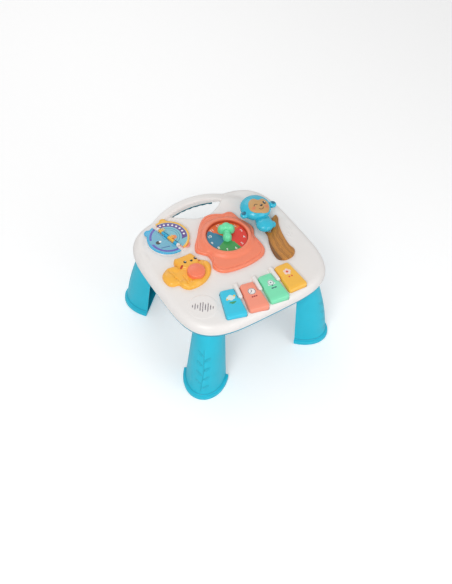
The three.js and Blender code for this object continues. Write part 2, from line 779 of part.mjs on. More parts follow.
// Half ellipse, drawn in by inset and, where back is above zero, run past the flat side
function legRing(corner, z, reach, half, back = 0, shiftZ = z) {
  const matrix = legMatrix(corner);
  const middle = legMiddle(corner, shiftZ);
  const ring = [];
  for (let i = 0; i <= legSteps; i += 1) {
    const turn = (i / legSteps - 0.5) * Math.PI;
    ring.push(new THREE.Vector3(reach * Math.cos(turn), half * Math.sin(turn), 0));
  }
  if (back > 0) ring.push(new THREE.Vector3(-back, half, 0), new THREE.Vector3(-back, -half, 0));
  return ring.map((p) => p.applyMatrix4(matrix).add(new THREE.Vector3(middle.x, middle.y, z)));
}

const legTop = legHeight - seatGap;
const legReach = (z) => legTopReach
  + (footReach - legTopReach) * (1 - (z / legHeight) ** legCurvePower);
const legHalf = (z) => legTopHalfWidth + (footHalfWidth - legTopHalfWidth) * (1 - z / legHeight);
const legLevels = (from, to) => Array.from({ length: legLevelCount + 1 },
  (_, i) => from + (to - from) * i / legLevelCount);

function plugSolid(corner, grow, z0, z1, back) {
  const reach = legTopReach - plugStep + grow;
  const half = legTopHalfWidth - plugStep + grow;
  return loft([legRing(corner, z0, reach, half, back, legHeight), legRing(corner, z1, reach, half,
    back, legHeight)]);
}

function makeLeg(corner) {
  const body = loft(legLevels(0, legTop).map(
    (z) => legRing(corner, z, legReach(z), legHalf(z))));
  const flange = loft([0, flangeHeight].map((z) => legRing(corner, z, legReach(z) + flangeOut,
    legHalf(z) + flangeOut)));
  const plug = plugSolid(corner, 0, legTop - overrun, legHeight + plugLength, 0);
  const back = 2 * overrun;
  const hollow = loft(legLevels(soleHeight, legTop - overrun).map(
    (z) => legRing(corner, z, legReach(z) - legWall, legHalf(z) - legWall, back)));
  const plugHollow = plugSolid(corner, -legWall, legTop - 2 * overrun, legHeight + plugLength
    - legWall, back);
  return cut(joined([body, flange, plug]), [hollow, plugHollow]);
}

corners.forEach((corner) => addMesh(`leg_${corner[0]}`, makeLeg(corner), finishes.teal));

// Base shell with the leg sockets, screw bosses, battery door opening and switch slot

const doorHalfX = cellLength / 2 + cellNub + contactGap + contactThickness + caseWall / 2;
const doorHalfY = cellPitch * cellCount / 2;
const doorRear = caseY + doorHalfY;
const doorFront = caseY - doorHalfY - doorTongue;
const barMiddle = caseY - doorHalfY - doorTongue / 2 - caseWall / 2;

function makeBaseShell() {
  const top = legHeight + baseDepth;
  const shell = loft([
    tableRing(baseSetback + baseRound, legHeight), tableRing(baseSetback + baseRound / 3,
      legHeight + baseRound / 3),
    tableRing(baseSetback, legHeight + baseRound), tableRing(baseSetback, top),
  ]);
  const cavity = loft([
    tableRing(wall + baseSetback + baseRound / 2, floorTop), tableRing(wall + baseSetback,
      legHeight + baseRound),
    tableRing(wall + baseSetback, top + overrun),
  ]);
  const hollow = cavity.subtract(bay(wall, legHeight - overrun, topHeight));
  const body = shell.subtract(bay(0, legHeight - overrun, topHeight)).subtract(hollow);
  const sockets = corners.map((corner) => plugSolid(corner, seatGap + socketWall, floorTop - wall / 2,
    legHeight + plugLength + seatGap + socketWall, socketWall));
  const pockets = corners.map((corner) => plugSolid(corner, seatGap, legHeight - overrun,
    legHeight + plugLength + seatGap, seatGap));
  const bosses = screwPlaces.map(([, x, y]) => post(bossRadius, x, y, floorTop - wall / 2,
    bossTop, screwSides));
  const holes = screwPlaces.map(([, x, y]) => post(screwRadius + screwHoleGap, x, y,
    legHeight - overrun, bossTop + overrun, screwSides));
  const heads = screwPlaces.map(([, x, y]) => post(screwHeadRadius + screwHoleGap, x, y,
    legHeight - overrun, legHeight + counterboreDepth, screwSides));
  const keepBar = box(caseX - doorHalfX - barHeight, caseX + doorHalfX + barHeight,
    barMiddle - barWidth / 2, barMiddle + barWidth / 2, legHeight + doorThickness + 2 * doorGap,
      floorTop + barHeight);
  const doorway = box(caseX - doorHalfX - doorGap, caseX + doorHalfX + doorGap, doorFront - doorGap,
    doorRear + doorHingeGap, legHeight - overrun, floorTop + overrun);
  const doorScrewBore = post(doorScrewHole, caseX, barMiddle, legHeight, floorTop + barHeight
    + overrun, smallSides);
  const switchSlot = box(powerX - powerKnobHalf - powerTravel - runningGap, powerX + powerKnobHalf
    + powerTravel + runningGap,
    powerY - powerKnobHalfDepth - seatGap, powerY + powerKnobHalfDepth + seatGap, legHeight - overrun,
      floorTop + overrun);
  const filled = joined([body, ...sockets, ...bosses]);
  const opened = cut(filled, [...pockets, ...holes, ...heads, doorway, switchSlot]);
  return cut(opened.add(keepBar), [doorScrewBore]);
}

addMesh('base_shell', makeBaseShell(), finishes.teal);

// Piano keys with their rubber domes, on the keyboard frame

const frameTop = frameBottom + frameThickness;
const boardTop = frameTop + seatGap + boardThickness;
const domeTop = boardTop + seatGap + domeHeight;
const plungerBottom = domeTop + seatGap;
const keyTop = topHeight + keyRise;
const keyBottom = topHeight - keySkirt;
const keyNames = ['key_blue', 'key_coral', 'key_mint', 'key_yellow'];
const keyFinishes = [finishes.keyBlue, finishes.coral, finishes.mint, finishes.yellow];

function makeKey(place) {
  const toKey = keyMatrix(place).invert();
  const fingerCuts = (grow, z0, z1) => fingerPlaces.map(
    (finger) => prism(fingerOutline(grow), z0, z1, 0, toKey.clone().multiply(keyMatrix(finger))));
  const cap = raised(keyOutline(0), keyBottom, keyTop, keyRound, 3);
  const pocket = prism(keyOutline(-keyWall), keyBottom - overrun, keyTop - keyInset)
    .subtract(joined(fingerCuts(runningGap + keyWall, keyBottom - 2 * overrun, keyTop)));
  const shell = cut(cap, [...fingerCuts(runningGap, keyBottom - overrun, keyTop + overrun), pocket]);
  const plunger = post(plungerRadius, 0, -plungerDistance, plungerBottom, keyTop - keyInset / 2,
    smallSides);
  const tongue = box(-tongueWidth / 2, tongueWidth / 2, -keySetback - keyWall, 0,
    keyBottom + seatGap - tongueHeight / 2, keyBottom + tongueHeight);
  const trunnion = bar(new THREE.Vector3(-trunnionLength / 2, 0, pivotHeight),
    new THREE.Vector3(trunnionLength / 2, 0, pivotHeight), trunnionRadius);
  return joined([shell, plunger, tongue, trunnion]);
}

keyPlaces.forEach((place, i) => {
  const group = new THREE.Group();
  group.applyMatrix4(keyMatrix(place));
  parts.add(group);
  addMesh(keyNames[i], makeKey(place), keyFinishes[i], group);
  const dome = turned([[0, boardTop + seatGap], [domeRadius, boardTop + seatGap],
    [domeRadius, boardTop + domeHeight / 4],
    [plungerRadius, domeTop], [0, domeTop]], 0, -plungerDistance, smallSides);
  addMesh(`${keyNames[i]}_dome`, dome, finishes.rubber, group);
});

function makeKeyboardFrame() {
  const plate = box(-frameHalfWidth, frameHalfWidth, frameFront, frameRear, frameBottom, frameTop)
    .add(box(-frameRearHalfWidth, frameRearHalfWidth, frameRear - frameRearDepth, frameRear,
      frameBottom, frameTop));
  const feetX = [-frameHalfWidth + 2 * frameFootRadius, 0, frameHalfWidth - 2 * frameFootRadius];
  const feetY = [frameFront + 2 * frameFootRadius, frameRear - 2 * frameFootRadius];
  const feet = feetX.flatMap((x) => feetY.map((y) => post(frameFootRadius, x, y, floorTop + seatGap,
    frameTop, smallSides)));
  const cheeks = keyPlaces.flatMap((place) => [-1, 1].map((side) => {
    const middle = side * (trunnionLength - cheekThickness) / 2;
    const block = box(middle - cheekThickness / 2, middle + cheekThickness / 2, -cheekHalfWidth,
      cheekHalfWidth,
      frameTop - frameThickness / 2, pivotHeight + cheekHalfWidth, keyMatrix(place));
    const bore = bar(new THREE.Vector3(middle - cheekThickness, 0, pivotHeight),
      new THREE.Vector3(middle + cheekThickness, 0, pivotHeight), trunnionHoleRadius, smallSides,
        keyMatrix(place));
    return block.subtract(bore);
  }));
  return joined([plate, ...feet, ...cheeks]);
}

addMesh('keyboard_frame', makeKeyboardFrame(), finishes.black);
addMesh('key_circuit_board', box(-boardHalfWidth, boardHalfWidth, boardFront, boardRear,
  frameTop + seatGap, boardTop), finishes.board);

// Dial: dished panel, printed disc, tree-shaped knob and the click switch that carries it

const panelSeat = topHeight + seatGap;
const dishTop = topHeight + dishRise;
const discSeat = dishTop - discDepth;
const discTop = discSeat + seatGap + discThickness;

function panelOutline() {
  const points = panelShares.map(([turn, reach]) => new THREE.Vector2(reach * panelReach, 0)
    .rotateAround(new THREE.Vector2(), turn * 2 * Math.PI)
    .add(new THREE.Vector2(dialX, dialY)));
  return smooth(points, panelPointsPerShare * panelShares.length);
}

function makeDialPanel() {
  const plate = raised(panelOutline(), panelSeat, topHeight + panelRise, panelRound);
  const dish = turned([[0, panelSeat], [dishFootRadius, panelSeat],
    [dishFootRadius, topHeight + panelRise - panelRound],
    [dishRimRadius, dishTop - dishRimRound], [dishRimRadius - dishRimRound, dishTop], [0, dishTop]],
      dialX, dialY, 2 * roundSides);
  const well = post(windowRadius, dialX, dialY, discSeat, dishTop + overrun, 2 * roundSides);
  const shaftHole = post(shaftHoleRadius, dialX, dialY, topHeight - overrun, dishTop, smallSides);
  const keepIn = prism(panelOutline(), panelSeat, dishTop + overrun);
  return cut(plate.add(dish.intersect(keepIn)), [well, shaftHole]);
}

addMesh('dial_panel', makeDialPanel(), finishes.coral);
addMesh('dial_disc', post(discRadius, dialX, dialY, discSeat + seatGap, discTop, 2 * roundSides)
  .subtract(post(shaftHoleRadius, dialX, dialY, discSeat - overrun, discTop + overrun, smallSides)),
    finishes.dial);

const switchTop = ceiling - seatGap;
const shaftEnd = switchTop - switchHeight / 2;

// rounded lobe of the knob that stands on its base, offset along the knob's direction
function knobLobe(offset, halfWidth, halfLength, rise) {
  const base = discTop + knobLift;
  const out = new THREE.Vector2(0, offset).rotateAround(new THREE.Vector2(), degrees(knobTurn));
  return ellipsoid(dialX + out.x, dialY + out.y, base + rise / 2, halfWidth, halfLength, rise / 2,
    roundSides, knobTurn);
}

function makeDialKnob() {
  const canopy = knobLobe(canopyOffset, canopyHalfWidth, canopyHalfLength, canopyRise);
  const stem = knobLobe(-stemOffset, stemHalfWidth, stemHalfLength, stemRise);
  const hub = knobLobe(0, knobHubHalfWidth, knobHubHalfLength, stemRise);
  const shaft = post(shaftRadius, dialX, dialY, shaftEnd, discTop + knobLift + stemRise / 2,
    smallSides);
  return joined([canopy, stem, hub, shaft]);
}

addMesh('dial_knob', makeDialKnob(), finishes.mint);
addMesh('dial_switch', box(dialX - switchSide / 2, dialX + switchSide / 2, dialY - switchSide / 2,
  dialY + switchSide / 2,
  switchTop - switchHeight, switchTop)
  .subtract(post(shaftHoleRadius, dialX, dialY, shaftEnd - seatGap, ceiling + overrun, smallSides)),
    finishes.black);

// Flip book, in a frame whose Y axis is the hinge line

const pageBottom = restTop + seatGap;
const upperPageBottom = pageBottom + pageThickness + seatGap;
const knucklePitch = 2 * bookHalfHinge / knuckleCount;

// side is 1 for a page that lies on the right and -1 for one on the left
function makePage(side, bottom, ownKnuckles, tabTurn, round) {
  const half = [];
  for (let i = 0; i <= roundSides; i += 1) {
    const turn = (i / roundSides - 0.5) * Math.PI;
    const reach = Math.max(round * Math.cos(turn), pageInset);
    half.push(new THREE.Vector2(side * reach, round * Math.sin(turn)));
  }
  const plate = prism(half, bottom, bottom + pageThickness);
  const keepOut = box(-pageInset, pageInset, -bookRadius - overrun, bookRadius + overrun,
    bottom - overrun, bottom + 2 * pageThickness);
  const tabMiddle = new THREE.Vector2(side * round * Math.cos(degrees(tabTurn)),
    round * Math.sin(degrees(tabTurn)));
  const tab = post(tabHalfWidth, tabMiddle.x, tabMiddle.y, bottom, bottom + pageThickness,
    smallSides);
  const knuckles = ownKnuckles.map((k) => {
    const y0 = -bookHalfHinge + k * knucklePitch + knuckleGap / 2;
    const y1 = y0 + knucklePitch - knuckleGap;
    const barrel = bar(new THREE.Vector3(0, y0, bookAxis), new THREE.Vector3(0, y1, bookAxis),
      knuckleRadius);
    const web = box(Math.min(0, side * 2 * pageInset), Math.max(0, side * 2 * pageInset), y0, y1,
      bottom, bottom + pageThickness);
    const reachUp = bottom + pageThickness;
    const neck = box(Math.min(0, side * knuckleRadius), Math.max(0, side * knuckleRadius), y0, y1,
      bottom, Math.max(reachUp, bookAxis));
    return joined([barrel, web, neck.intersect(barrel.add(web))]);
  });
  const bore = bar(new THREE.Vector3(0, -bookRadius, bookAxis), new THREE.Vector3(0, bookRadius,
    bookAxis), knuckleBore);
  return cut(joined([plate.subtract(keepOut), tab.subtract(keepOut), ...knuckles]), [bore]);
}

const book = new THREE.Group();
book.applyMatrix4(bookFrame);
parts.add(book);
addMesh('page_blue', makePage(-1, pageBottom, [0, 3], blueTabTurn, bookRadius), finishes.blue, book);
addMesh('page_pink', makePage(1, pageBottom, [1, 4], pinkTabTurn, bookRadius - tabReach / 2), finishes.pink,
  book);
addMesh('page_yellow', makePage(1, upperPageBottom, [2, 5], yellowTabTurn, bookRadius), finishes.yellow,
  book);
addMesh('book_hinge_rod', bar(new THREE.Vector3(0, -bookHalfHinge - knuckleGap - lugLength, bookAxis),
  new THREE.Vector3(0, bookHalfHinge + knuckleGap + lugLength, bookAxis), bookRodRadius),
    finishes.steel, book);

// Lion figure with the drum button on its chest

function makeLion() {
  const bodyOutline = smooth(scaledOutline(lionBodyShares, lionSpan, lionSpan, lionX, lionY),
    figurePointsPerShare * lionBodyShares.length);
  const headOutline = smooth(scaledOutline(lionHeadShares, lionSpan, lionSpan, lionX, lionY),
    figurePointsPerShare * lionHeadShares.length);
  const body = raised(bodyOutline, panelSeat, topHeight + lionBodyRise, lionRound);
  const head = raised(headOutline, panelSeat, topHeight + lionHeadRise, lionRound);
  const bore = post(drumRadius + runningGap / 2, drumX, drumY, topHeight - overrun,
    topHeight + 2 * lionHeadRise);
  const panelSpace = prism(panelOutline(), topHeight - overrun, topHeight + 2 * lionHeadRise,
    runningGap);
  return cut(body.add(head), [bore, panelSpace]);
}

addMesh('lion_figure', makeLion(), finishes.amber);

const drumSeat = ceiling - seatGap - drumFlange;
addMesh('drum_button', turned([
  [0, topHeight + drumRise - drumWall], [drumRadius - drumWall, topHeight + drumRise - drumRound
    - drumWall],
  [drumRadius - drumWall, drumSeat], [drumRadius + drumFlange, drumSeat], [drumRadius + drumFlange,
    drumSeat + drumFlange],
  [drumRadius, drumSeat + drumFlange], [drumRadius, topHeight + drumRise - drumRound],
  [drumRadius - drumRound / 3, topHeight + drumRise - drumRound / 3],
    [drumRadius - drumRound, topHeight + drumRise],
  [0, topHeight + drumRise + seatGap]], drumX, drumY)
  .add(post(plungerRadius, drumX, drumY, drumSeat, topHeight + drumRise - drumWall / 2, smallSides)),
    finishes.coral);

const drumDomeTop = drumSeat - seatGap;
const drumBoardTop = drumDomeTop - domeHeight - seatGap;
addMesh('drum_dome', turned([[0, drumBoardTop + seatGap], [domeRadius, drumBoardTop + seatGap],
  [domeRadius, drumDomeTop - domeHeight / 2], [plungerRadius, drumDomeTop], [0, drumDomeTop]], drumX,
    drumY, smallSides), finishes.rubber);

function makeDrumBoard() {
  const plate = box(drumX - drumBoardHalf, drumX + drumBoardHalf, drumY - drumBoardHalf,
    drumY + drumBoardHalf,
    drumBoardTop - boardThickness, drumBoardTop);
  const inset = drumBoardHalf - frameFootRadius;
  const feet = [[-1, -1], [1, -1], [-1, 1], [1, 1]]
    .map(([x, y]) => post(frameFootRadius / 2, drumX + x * inset,
    drumY + y * inset, floorTop + seatGap, drumBoardTop - boardThickness / 2, smallSides));
  return joined([plate, ...feet]);
}

addMesh('drum_circuit_board', makeDrumBoard(), finishes.board);

// Monkey that slides along the trunk

function makeTrunk() {
  const outline = smooth(scaledOutline(trunkShares, trunkSpan, trunkSpan, trunkX, trunkY),
    figurePointsPerShare * trunkShares.length);
  const body = raised(outline, panelSeat, topHeight + trunkRise, trunkRound, 2);
  return body.subtract(slideSlot(slideStemRadius + slideSlotGap, topHeight - overrun,
    topHeight + 2 * trunkRise));
}

addMesh('tree_trunk', makeTrunk(), finishes.brown);

const monkeyBase = topHeight + trunkRise + seatGap;
const carriageTop = ceiling - seatGap;
const carriageBottom = carriageTop - carriageThickness;
const headZ = monkeyBase + monkeyHeadHalfHeight;

function headShape(grow) {
  return ellipsoid(monkeyHeadX, monkeyHeadY, headZ, monkeyHeadRadius + grow, monkeyHeadRadius + grow,
    monkeyHeadHalfHeight + grow);
}

function facePrism() {
  const outline = smooth(scaledOutline(faceShares, faceHalfWidth, faceHalfHeight,
    monkeyHeadX + faceOffsetX, monkeyHeadY + faceOffsetY, faceTurn),
    figurePointsPerShare * faceShares.length);
  return prism(outline, headZ, headZ + 2 * monkeyHeadHalfHeight);
}

function makeMonkey() {
  const body = ellipsoid(monkeyBodyX, monkeyBodyY, monkeyBase + monkeyBodyHalfHeight,
    monkeyBodyHalfWidth, monkeyBodyHalfLength, monkeyBodyHalfHeight);
  const hand = ellipsoid(monkeyHandX, monkeyHandY, monkeyBase + monkeyHandHalfHeight,
    monkeyHandRadius, monkeyHandRadius, monkeyHandHalfHeight, smallSides);
  const earShapes = earPlaceShares.map(([u, v]) => ellipsoid(monkeyHeadX + u * toySpan,
    monkeyHeadY + v * toySpan, headZ, earRadius, earRadius, earHalfHeight, smallSides));
  const stem = post(slideStemRadius, slideX, slideY, carriageBottom, headZ, smallSides);
  const bore = post(slideScrewRadius + seatGap, slideX, slideY, carriageBottom - overrun,
    carriageBottom + slideScrewDepth, smallSides);
  return joined([headShape(0), body, hand, ...earShapes, stem]).subtract(bore);
}

addMesh('monkey_figure', makeMonkey(), finishes.blue);
addMesh('monkey_face', facePrism().intersect(headShape(seatGap + faceThickness))
  .subtract(headShape(seatGap)), finishes.tan);
addMesh('monkey_carriage', box(slideX - carriageHalf, slideX + carriageHalf, slideY - carriageHalf,
  slideY + carriageHalf,
  carriageBottom, carriageTop)
  .subtract(post(slideStemRadius + seatGap, slideX, slideY, carriageBottom - overrun, ceiling,
    smallSides)), finishes.black);
addMesh('monkey_screw', turned([[0, carriageBottom - seatGap - slideScrewHeadHeight],
  [slideScrewHead, carriageBottom - seatGap - slideScrewHeadHeight],
  [slideScrewHead, carriageBottom - seatGap], [slideScrewRadius, carriageBottom - seatGap],
  [slideScrewRadius, carriageBottom + slideScrewDepth - slideScrewRadius],
    [0, carriageBottom + slideScrewDepth - slideScrewRadius / 2]],
slideX, slideY, smallSides), finishes.steel);

// Speaker

const speakerTop = ceiling - seatGap;
addMesh('speaker', turned([[0, speakerTop - speakerDepth], [magnetRadius, speakerTop - speakerDepth],
  [magnetRadius, speakerTop - speakerDepth + magnetHeight],
    [speakerConeRadius, speakerTop - speakerDepth + magnetHeight],
  [speakerRadius - speakerFlange, speakerTop - speakerFlange],
    [speakerRadius, speakerTop - speakerFlange],
  [speakerRadius, speakerTop], [0, speakerTop]], speakerX, speakerY), finishes.black);

// Battery case, cells, contacts and door

const cellZ = floorTop + seatGap + cellRadius;
const caseHalfX = cellLength / 2 + cellNub + contactGap + contactThickness + caseWall;
const caseHalfY = cellPitch * cellCount / 2 + caseWall;
const caseTop = cellZ + cellRadius + caseCrown + caseWall;
const caseBottom = floorTop + seatGap;

function makeBatteryCase() {
  const outer = box(caseX - caseHalfX - caseWall, caseX + caseHalfX + caseWall, caseY - caseHalfY,
    caseY + caseHalfY + caseWall, caseBottom, caseTop);
  const inner = box(caseX - caseHalfX + caseWall / 2, caseX + caseHalfX - caseWall / 2,
    caseY - caseHalfY + caseWall, caseY + caseHalfY - caseWall,
    caseBottom - overrun, caseTop - caseWall);
  return outer.subtract(inner);
}

addMesh('battery_case', makeBatteryCase(), finishes.black);

for (let i = 0; i < cellCount; i += 1) {
  const y = caseY + (i - (cellCount - 1) / 2) * cellPitch;
  const side = i % 2 === 0 ? 1 : -1;
  const can = bar(new THREE.Vector3(caseX - cellLength / 2, y, cellZ),
    new THREE.Vector3(caseX + cellLength / 2, y, cellZ), cellRadius, cellSides);
  const nub = bar(new THREE.Vector3(caseX, y, cellZ),
    new THREE.Vector3(caseX + side * (cellLength / 2 + cellNub), y, cellZ), cellNubRadius);
  addMesh(`battery_${i + 1}`, can.add(nub), finishes.cell);
}

[['left', -1], ['right', 1]].forEach(([name, side]) => {
  const near = cellLength / 2 + cellNub + seatGap;
  const [x0, x1] = [caseX + side * near, caseX + side * (near + contactThickness)];
  const reach = cellPitch * cellCount / 2 - caseWall;
  addMesh(`battery_contact_${name}`, box(Math.min(x0, x1), Math.max(x0, x1), caseY - reach,
    caseY + reach,
    caseBottom + seatGap, caseTop - caseWall - seatGap), finishes.steel);
});

const doorBottom = legHeight;
const doorTop = doorBottom + doorThickness;

function makeBatteryDoor() {
  const plate = box(caseX - doorHalfX, caseX + doorHalfX, doorFront, doorRear, doorBottom, doorTop);
  const hole = post(doorScrewRadius + seatGap, caseX, barMiddle, doorBottom - overrun,
    doorTop + overrun, smallSides);
  const sink = post(doorScrewHead + seatGap, caseX, barMiddle, doorBottom - overrun,
    doorBottom + doorScrewHeadHeight, smallSides);
  return cut(plate, [hole, sink]);
}

addMesh('battery_door', makeBatteryDoor(), finishes.teal);
const doorHead = doorBottom + seatGap;
addMesh('battery_door_screw', turned([[0, doorHead], [doorScrewHead, doorHead],
  [doorScrewHead, doorBottom + doorScrewHeadHeight - seatGap],
  [doorScrewRadius, doorBottom + doorScrewHeadHeight - seatGap],
    [doorScrewRadius, doorHead + doorScrewLength],
  [0, doorHead + doorScrewLength + doorScrewRadius / 2]], caseX, barMiddle, smallSides),
    finishes.steel);

// Power switch

const powerBodyBottom = floorTop + seatGap;
addMesh('power_switch', box(powerX - powerBodyHalfX, powerX + powerBodyHalfX, powerY - powerBodyHalfY,
  powerY + powerBodyHalfY,
  powerBodyBottom, powerBodyBottom + powerBodyHeight)
  .subtract(box(powerX - powerKnobHalf - powerTravel - runningGap, powerX + powerKnobHalf
    + powerTravel + runningGap,
    powerY - powerKnobHalfDepth - seatGap, powerY + powerKnobHalfDepth + seatGap,
      powerBodyBottom - overrun, powerBodyBottom + powerBodyHeight / 2)),
finishes.black);
addMesh('power_switch_knob', box(powerX - powerKnobHalf, powerX + powerKnobHalf,
  powerY - powerKnobHalfDepth, powerY + powerKnobHalfDepth,
  legHeight - powerKnobDrop, powerBodyBottom + powerBodyHeight / 2 - seatGap), finishes.rubber);

// Case screws, driven from below into the cover's bosses

screwPlaces.forEach((place) => {
  const head = legHeight + counterboreDepth - seatGap;
  addMesh(`case_screw_${place[0]}`,
    turned([[0, head - screwHeadHeight], [screwHeadRadius, head - screwHeadHeight],
    [screwHeadRadius, head],
    [screwRadius, head], [screwRadius, head + screwLength - screwRadius], [0, head + screwLength]],
  place[1], place[2], screwSides), finishes.steel);
});

export default parts;
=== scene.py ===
import math

import bmesh
import bpy
import numpy as np
from mathutils import Matrix, Vector


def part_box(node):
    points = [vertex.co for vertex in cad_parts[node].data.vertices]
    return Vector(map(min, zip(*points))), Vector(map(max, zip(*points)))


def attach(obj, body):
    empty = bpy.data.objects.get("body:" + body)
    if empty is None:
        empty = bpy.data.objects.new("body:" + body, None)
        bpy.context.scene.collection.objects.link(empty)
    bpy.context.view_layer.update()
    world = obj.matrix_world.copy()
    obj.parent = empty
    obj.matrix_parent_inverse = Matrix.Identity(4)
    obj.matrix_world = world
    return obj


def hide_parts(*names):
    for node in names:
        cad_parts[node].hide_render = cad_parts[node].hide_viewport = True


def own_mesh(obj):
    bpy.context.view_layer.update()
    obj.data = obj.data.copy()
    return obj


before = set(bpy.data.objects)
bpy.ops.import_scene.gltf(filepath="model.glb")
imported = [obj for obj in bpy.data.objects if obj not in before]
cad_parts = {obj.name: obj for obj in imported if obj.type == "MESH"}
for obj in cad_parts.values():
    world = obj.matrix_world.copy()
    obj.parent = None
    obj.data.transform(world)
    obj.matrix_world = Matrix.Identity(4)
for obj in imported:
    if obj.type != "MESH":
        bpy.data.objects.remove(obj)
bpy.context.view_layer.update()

# Sizes in millimetres, in the frame of the CAD part

MM = 0.001
TABLE = (180.0, 170.5)  # half width and half depth
BASE_Z, RIM_Z, TOP_Z = 181.0, 194.0, 214.0
BASE_ROUND = 10.0
RIM_ROUND = 16.0
WALL = 2.6
BAY_MIDDLE = (9.0, 122.0)
BAY_HALF = (71.0, 48.5)
BAY_SHARES = [(-1.25, 1.7), (-1.03, 0.95), (-0.62, 0.46), (-0.22, 0.09), (0.1, 0), (0.45, 0.12),
              (0.8, 0.42), (1.0, 0.85), (1.2, 1.7)]
HANDLE_X, HANDLE_Y, HANDLE_SAG, HANDLE_SPAN = -8.0, 171.6, 35.0, 110.0
HANDLE_END_SHARE, GRIP_PITCH = 0.86, 17.0
HANDLE_HALF, HANDLE_BOTTOM, HANDLE_SEAM, HANDLE_TOP = 10.2, 201.0, 209.6, 224.5
MOUND = (88.0, 122.0, 46.0, 25.0, -38.0, 8.0)  # middle, halves, turn and height
DIAL = (16.4, 35.2)
PANEL_REACH = 94.0
PANEL_SHARES = [(0.0196, 0.70), (0.0551, 0.69), (0.0908, 0.70), (0.1216, 0.785), (0.1403, 0.84),
                (0.1586, 0.83), (0.1808, 0.775), (0.2236, 0.815), (0.2578, 0.84), (0.2866, 0.81),
                (0.3307, 0.735), (0.4027, 0.685), (0.4721, 0.79), (0.4996, 0.824), (0.5227, 0.764),
                (0.5548, 0.70), (0.5902, 0.79), (0.6059, 0.93), (0.6266, 1.0), (0.6504, 1.02),
                (0.6814, 0.978), (0.7186, 0.936), (0.7652, 0.924), (0.8235, 0.952), (0.8486, 0.935),
                (0.8703, 0.862), (0.9009, 0.735), (0.934, 0.65), (0.9853, 0.70)]
WINDOW_RADIUS, DISC_RADIUS, DISC_SEAT, DISH_TOP = 45.3, 44.9, 219.8, 229.0
PANEL_SEAT, PANEL_TOP = 214.3, 221.4
BOOK = (-92.5, 99.0, 13.5)  # middle and turn in degrees
BOOK_RADIUS, PAGE_THICKNESS, PAGE_INSET, BOOK_AXIS = 46.0, 3.0, 4.6, 221.1
LION = (-106.0, -8.0, 56.0)  # middle and size of its outlines
LION_BODY = [(-0.1, 0.5), (0.25, 0.5), (0.62, 0.42), (0.8, 0.277), (0.95, 0), (0.788, -0.335),
             (0.524, -0.56), (0.201, -0.686), (-0.139, -0.699), (-0.353, -0.65), (-0.498, -0.487),
             (-0.563, -0.304), (-0.741, -0.255), (-0.87, -0.179), (-0.939, 0.029), (-0.934, 0.249),
             (-0.883, 0.383), (-0.735, 0.506), (-0.552, 0.583), (-0.39, 0.562), (-0.26, 0.515)]
LION_HEAD = [(-0.136, 0.801), (-0.038, 0.773), (0.27, 0.757), (0.531, 0.747), (0.584, 0.656),
             (0.636, 0.415), (0.6, 0.2), (0.38, 0.05), (0.06, 0.06), (-0.14, 0.22), (-0.2, 0.45),
             (-0.233, 0.665)]
DRUM = (-92.7, -18.0, 18.5)  # middle and radius
DRUM_TOP = 234.0
KNOB_TURN, KNOB_BASE = -26.0, 222.9
TRUNK = (108.0, -20.0, 60.0)  # middle and size of its outline
TRUNK_SHARES = [(0.672, 1.007), (0.665, 0.838), (0.538, 0.627), (0.367, 0.163), (0.253, -0.457),
                (0.283, -0.745), (0.092, -0.953), (-0.282, -0.973), (-0.478, -0.805), (-0.46, -0.445),
                (-0.34, -0.057), (-0.16, 0.332), (-0.142, 0.567), (-0.067, 0.8), (0.083, 0.925),
                (0.25, 0.917), (0.383, 0.908), (0.537, 0.97)]
GRAIN_CENTRE, GRAIN_RADIUS = (241.0, -63.0), 140.0  # the bend that the wood's grain follows
TRUNK_TOP = 219.4
MONKEY_HEAD, MONKEY_HEAD_HALF = (108.4, 64.3, 238.9), (34.3, 19.2)
MONKEY_BODY, MONKEY_BODY_HALF = (102.0, 17.0, 232.0), (19.5, 19.0, 12.3)
MONKEY_HAND, MONKEY_HAND_HALF = (119.0, 12.5, 227.3), (8.0, 8.0, 7.6)
MONKEY_NECK, MONKEY_NECK_HALF = (104.8, 32.5, 230.5), (15.0, 14.0, 11.0)
EARS, EAR_HALF = ((74.5, 57.7), (146.5, 54.0)), (9.0, 6.5)
FACE, FACE_TURN, EYE_TURN = (109.0, 53.0), -24.0, -1.0
FACE_HALF = (23.3, 19.0)
SLIDE = (114.5, 26.5, 5.0)  # place and radius of the monkey's stem
KEYBOARD = (6.6, -88.0, 44.0, 2.9)  # middle, pitch and bow
KEY_LEAN, KEY_LEAN_STEP = 8.5, 4.33
KEY_PLACES, FINGER_PLACES = (-1.5, -0.5, 0.5, 1.5), (-1, 0, 1)
KEY_SETBACK, KEY_LENGTH, KEY_FRONT, KEY_REAR, KEY_CORNER = 6.0, 70.0, 45.0, 34.0, 6.0
KEY_BOTTOM, KEY_TOP = 206.0, 223.0
FINGER = (12.0, 30.0, 2.0)  # width, length and offset to the left
SPEAKER = (-124.0, -96.0)
SLOT_SHARES, SLOT_PITCH, SLOT_TURN = (0.30, 0.62, 0.45, 0.85, 1.0, 0.66, 0.9, 0.5, 0.28), 5.2, -34.5
SLOT_WIDTH, SLOT_LENGTH = 1.9, 26.0
LEG_ANGLE, LEG_DRAW_IN = 48.0, 0.087
FOOT = (125.4, 119.3)
LEG_REACH, LEG_HALF = (62.6, 34.0), (44.5, 31.5)
LEG_TOP, LEG_WALL, SOLE, PLUG_TOP, PLUG_STEP = 180.7, 3.0, 4.0, 196.0, 3.2
DOOR_BOX = ((-26.6, 0.0), (30.6, 58.2))


# Plane geometry

def turned(points, degrees):
    """points turned round the origin."""
    c, s = math.cos(math.radians(degrees)), math.sin(math.radians(degrees))
    points = np.asarray(points, float)
    return np.stack([c * points[..., 0] - s * points[..., 1],
                     s * points[..., 0] + c * points[..., 1]], -1)


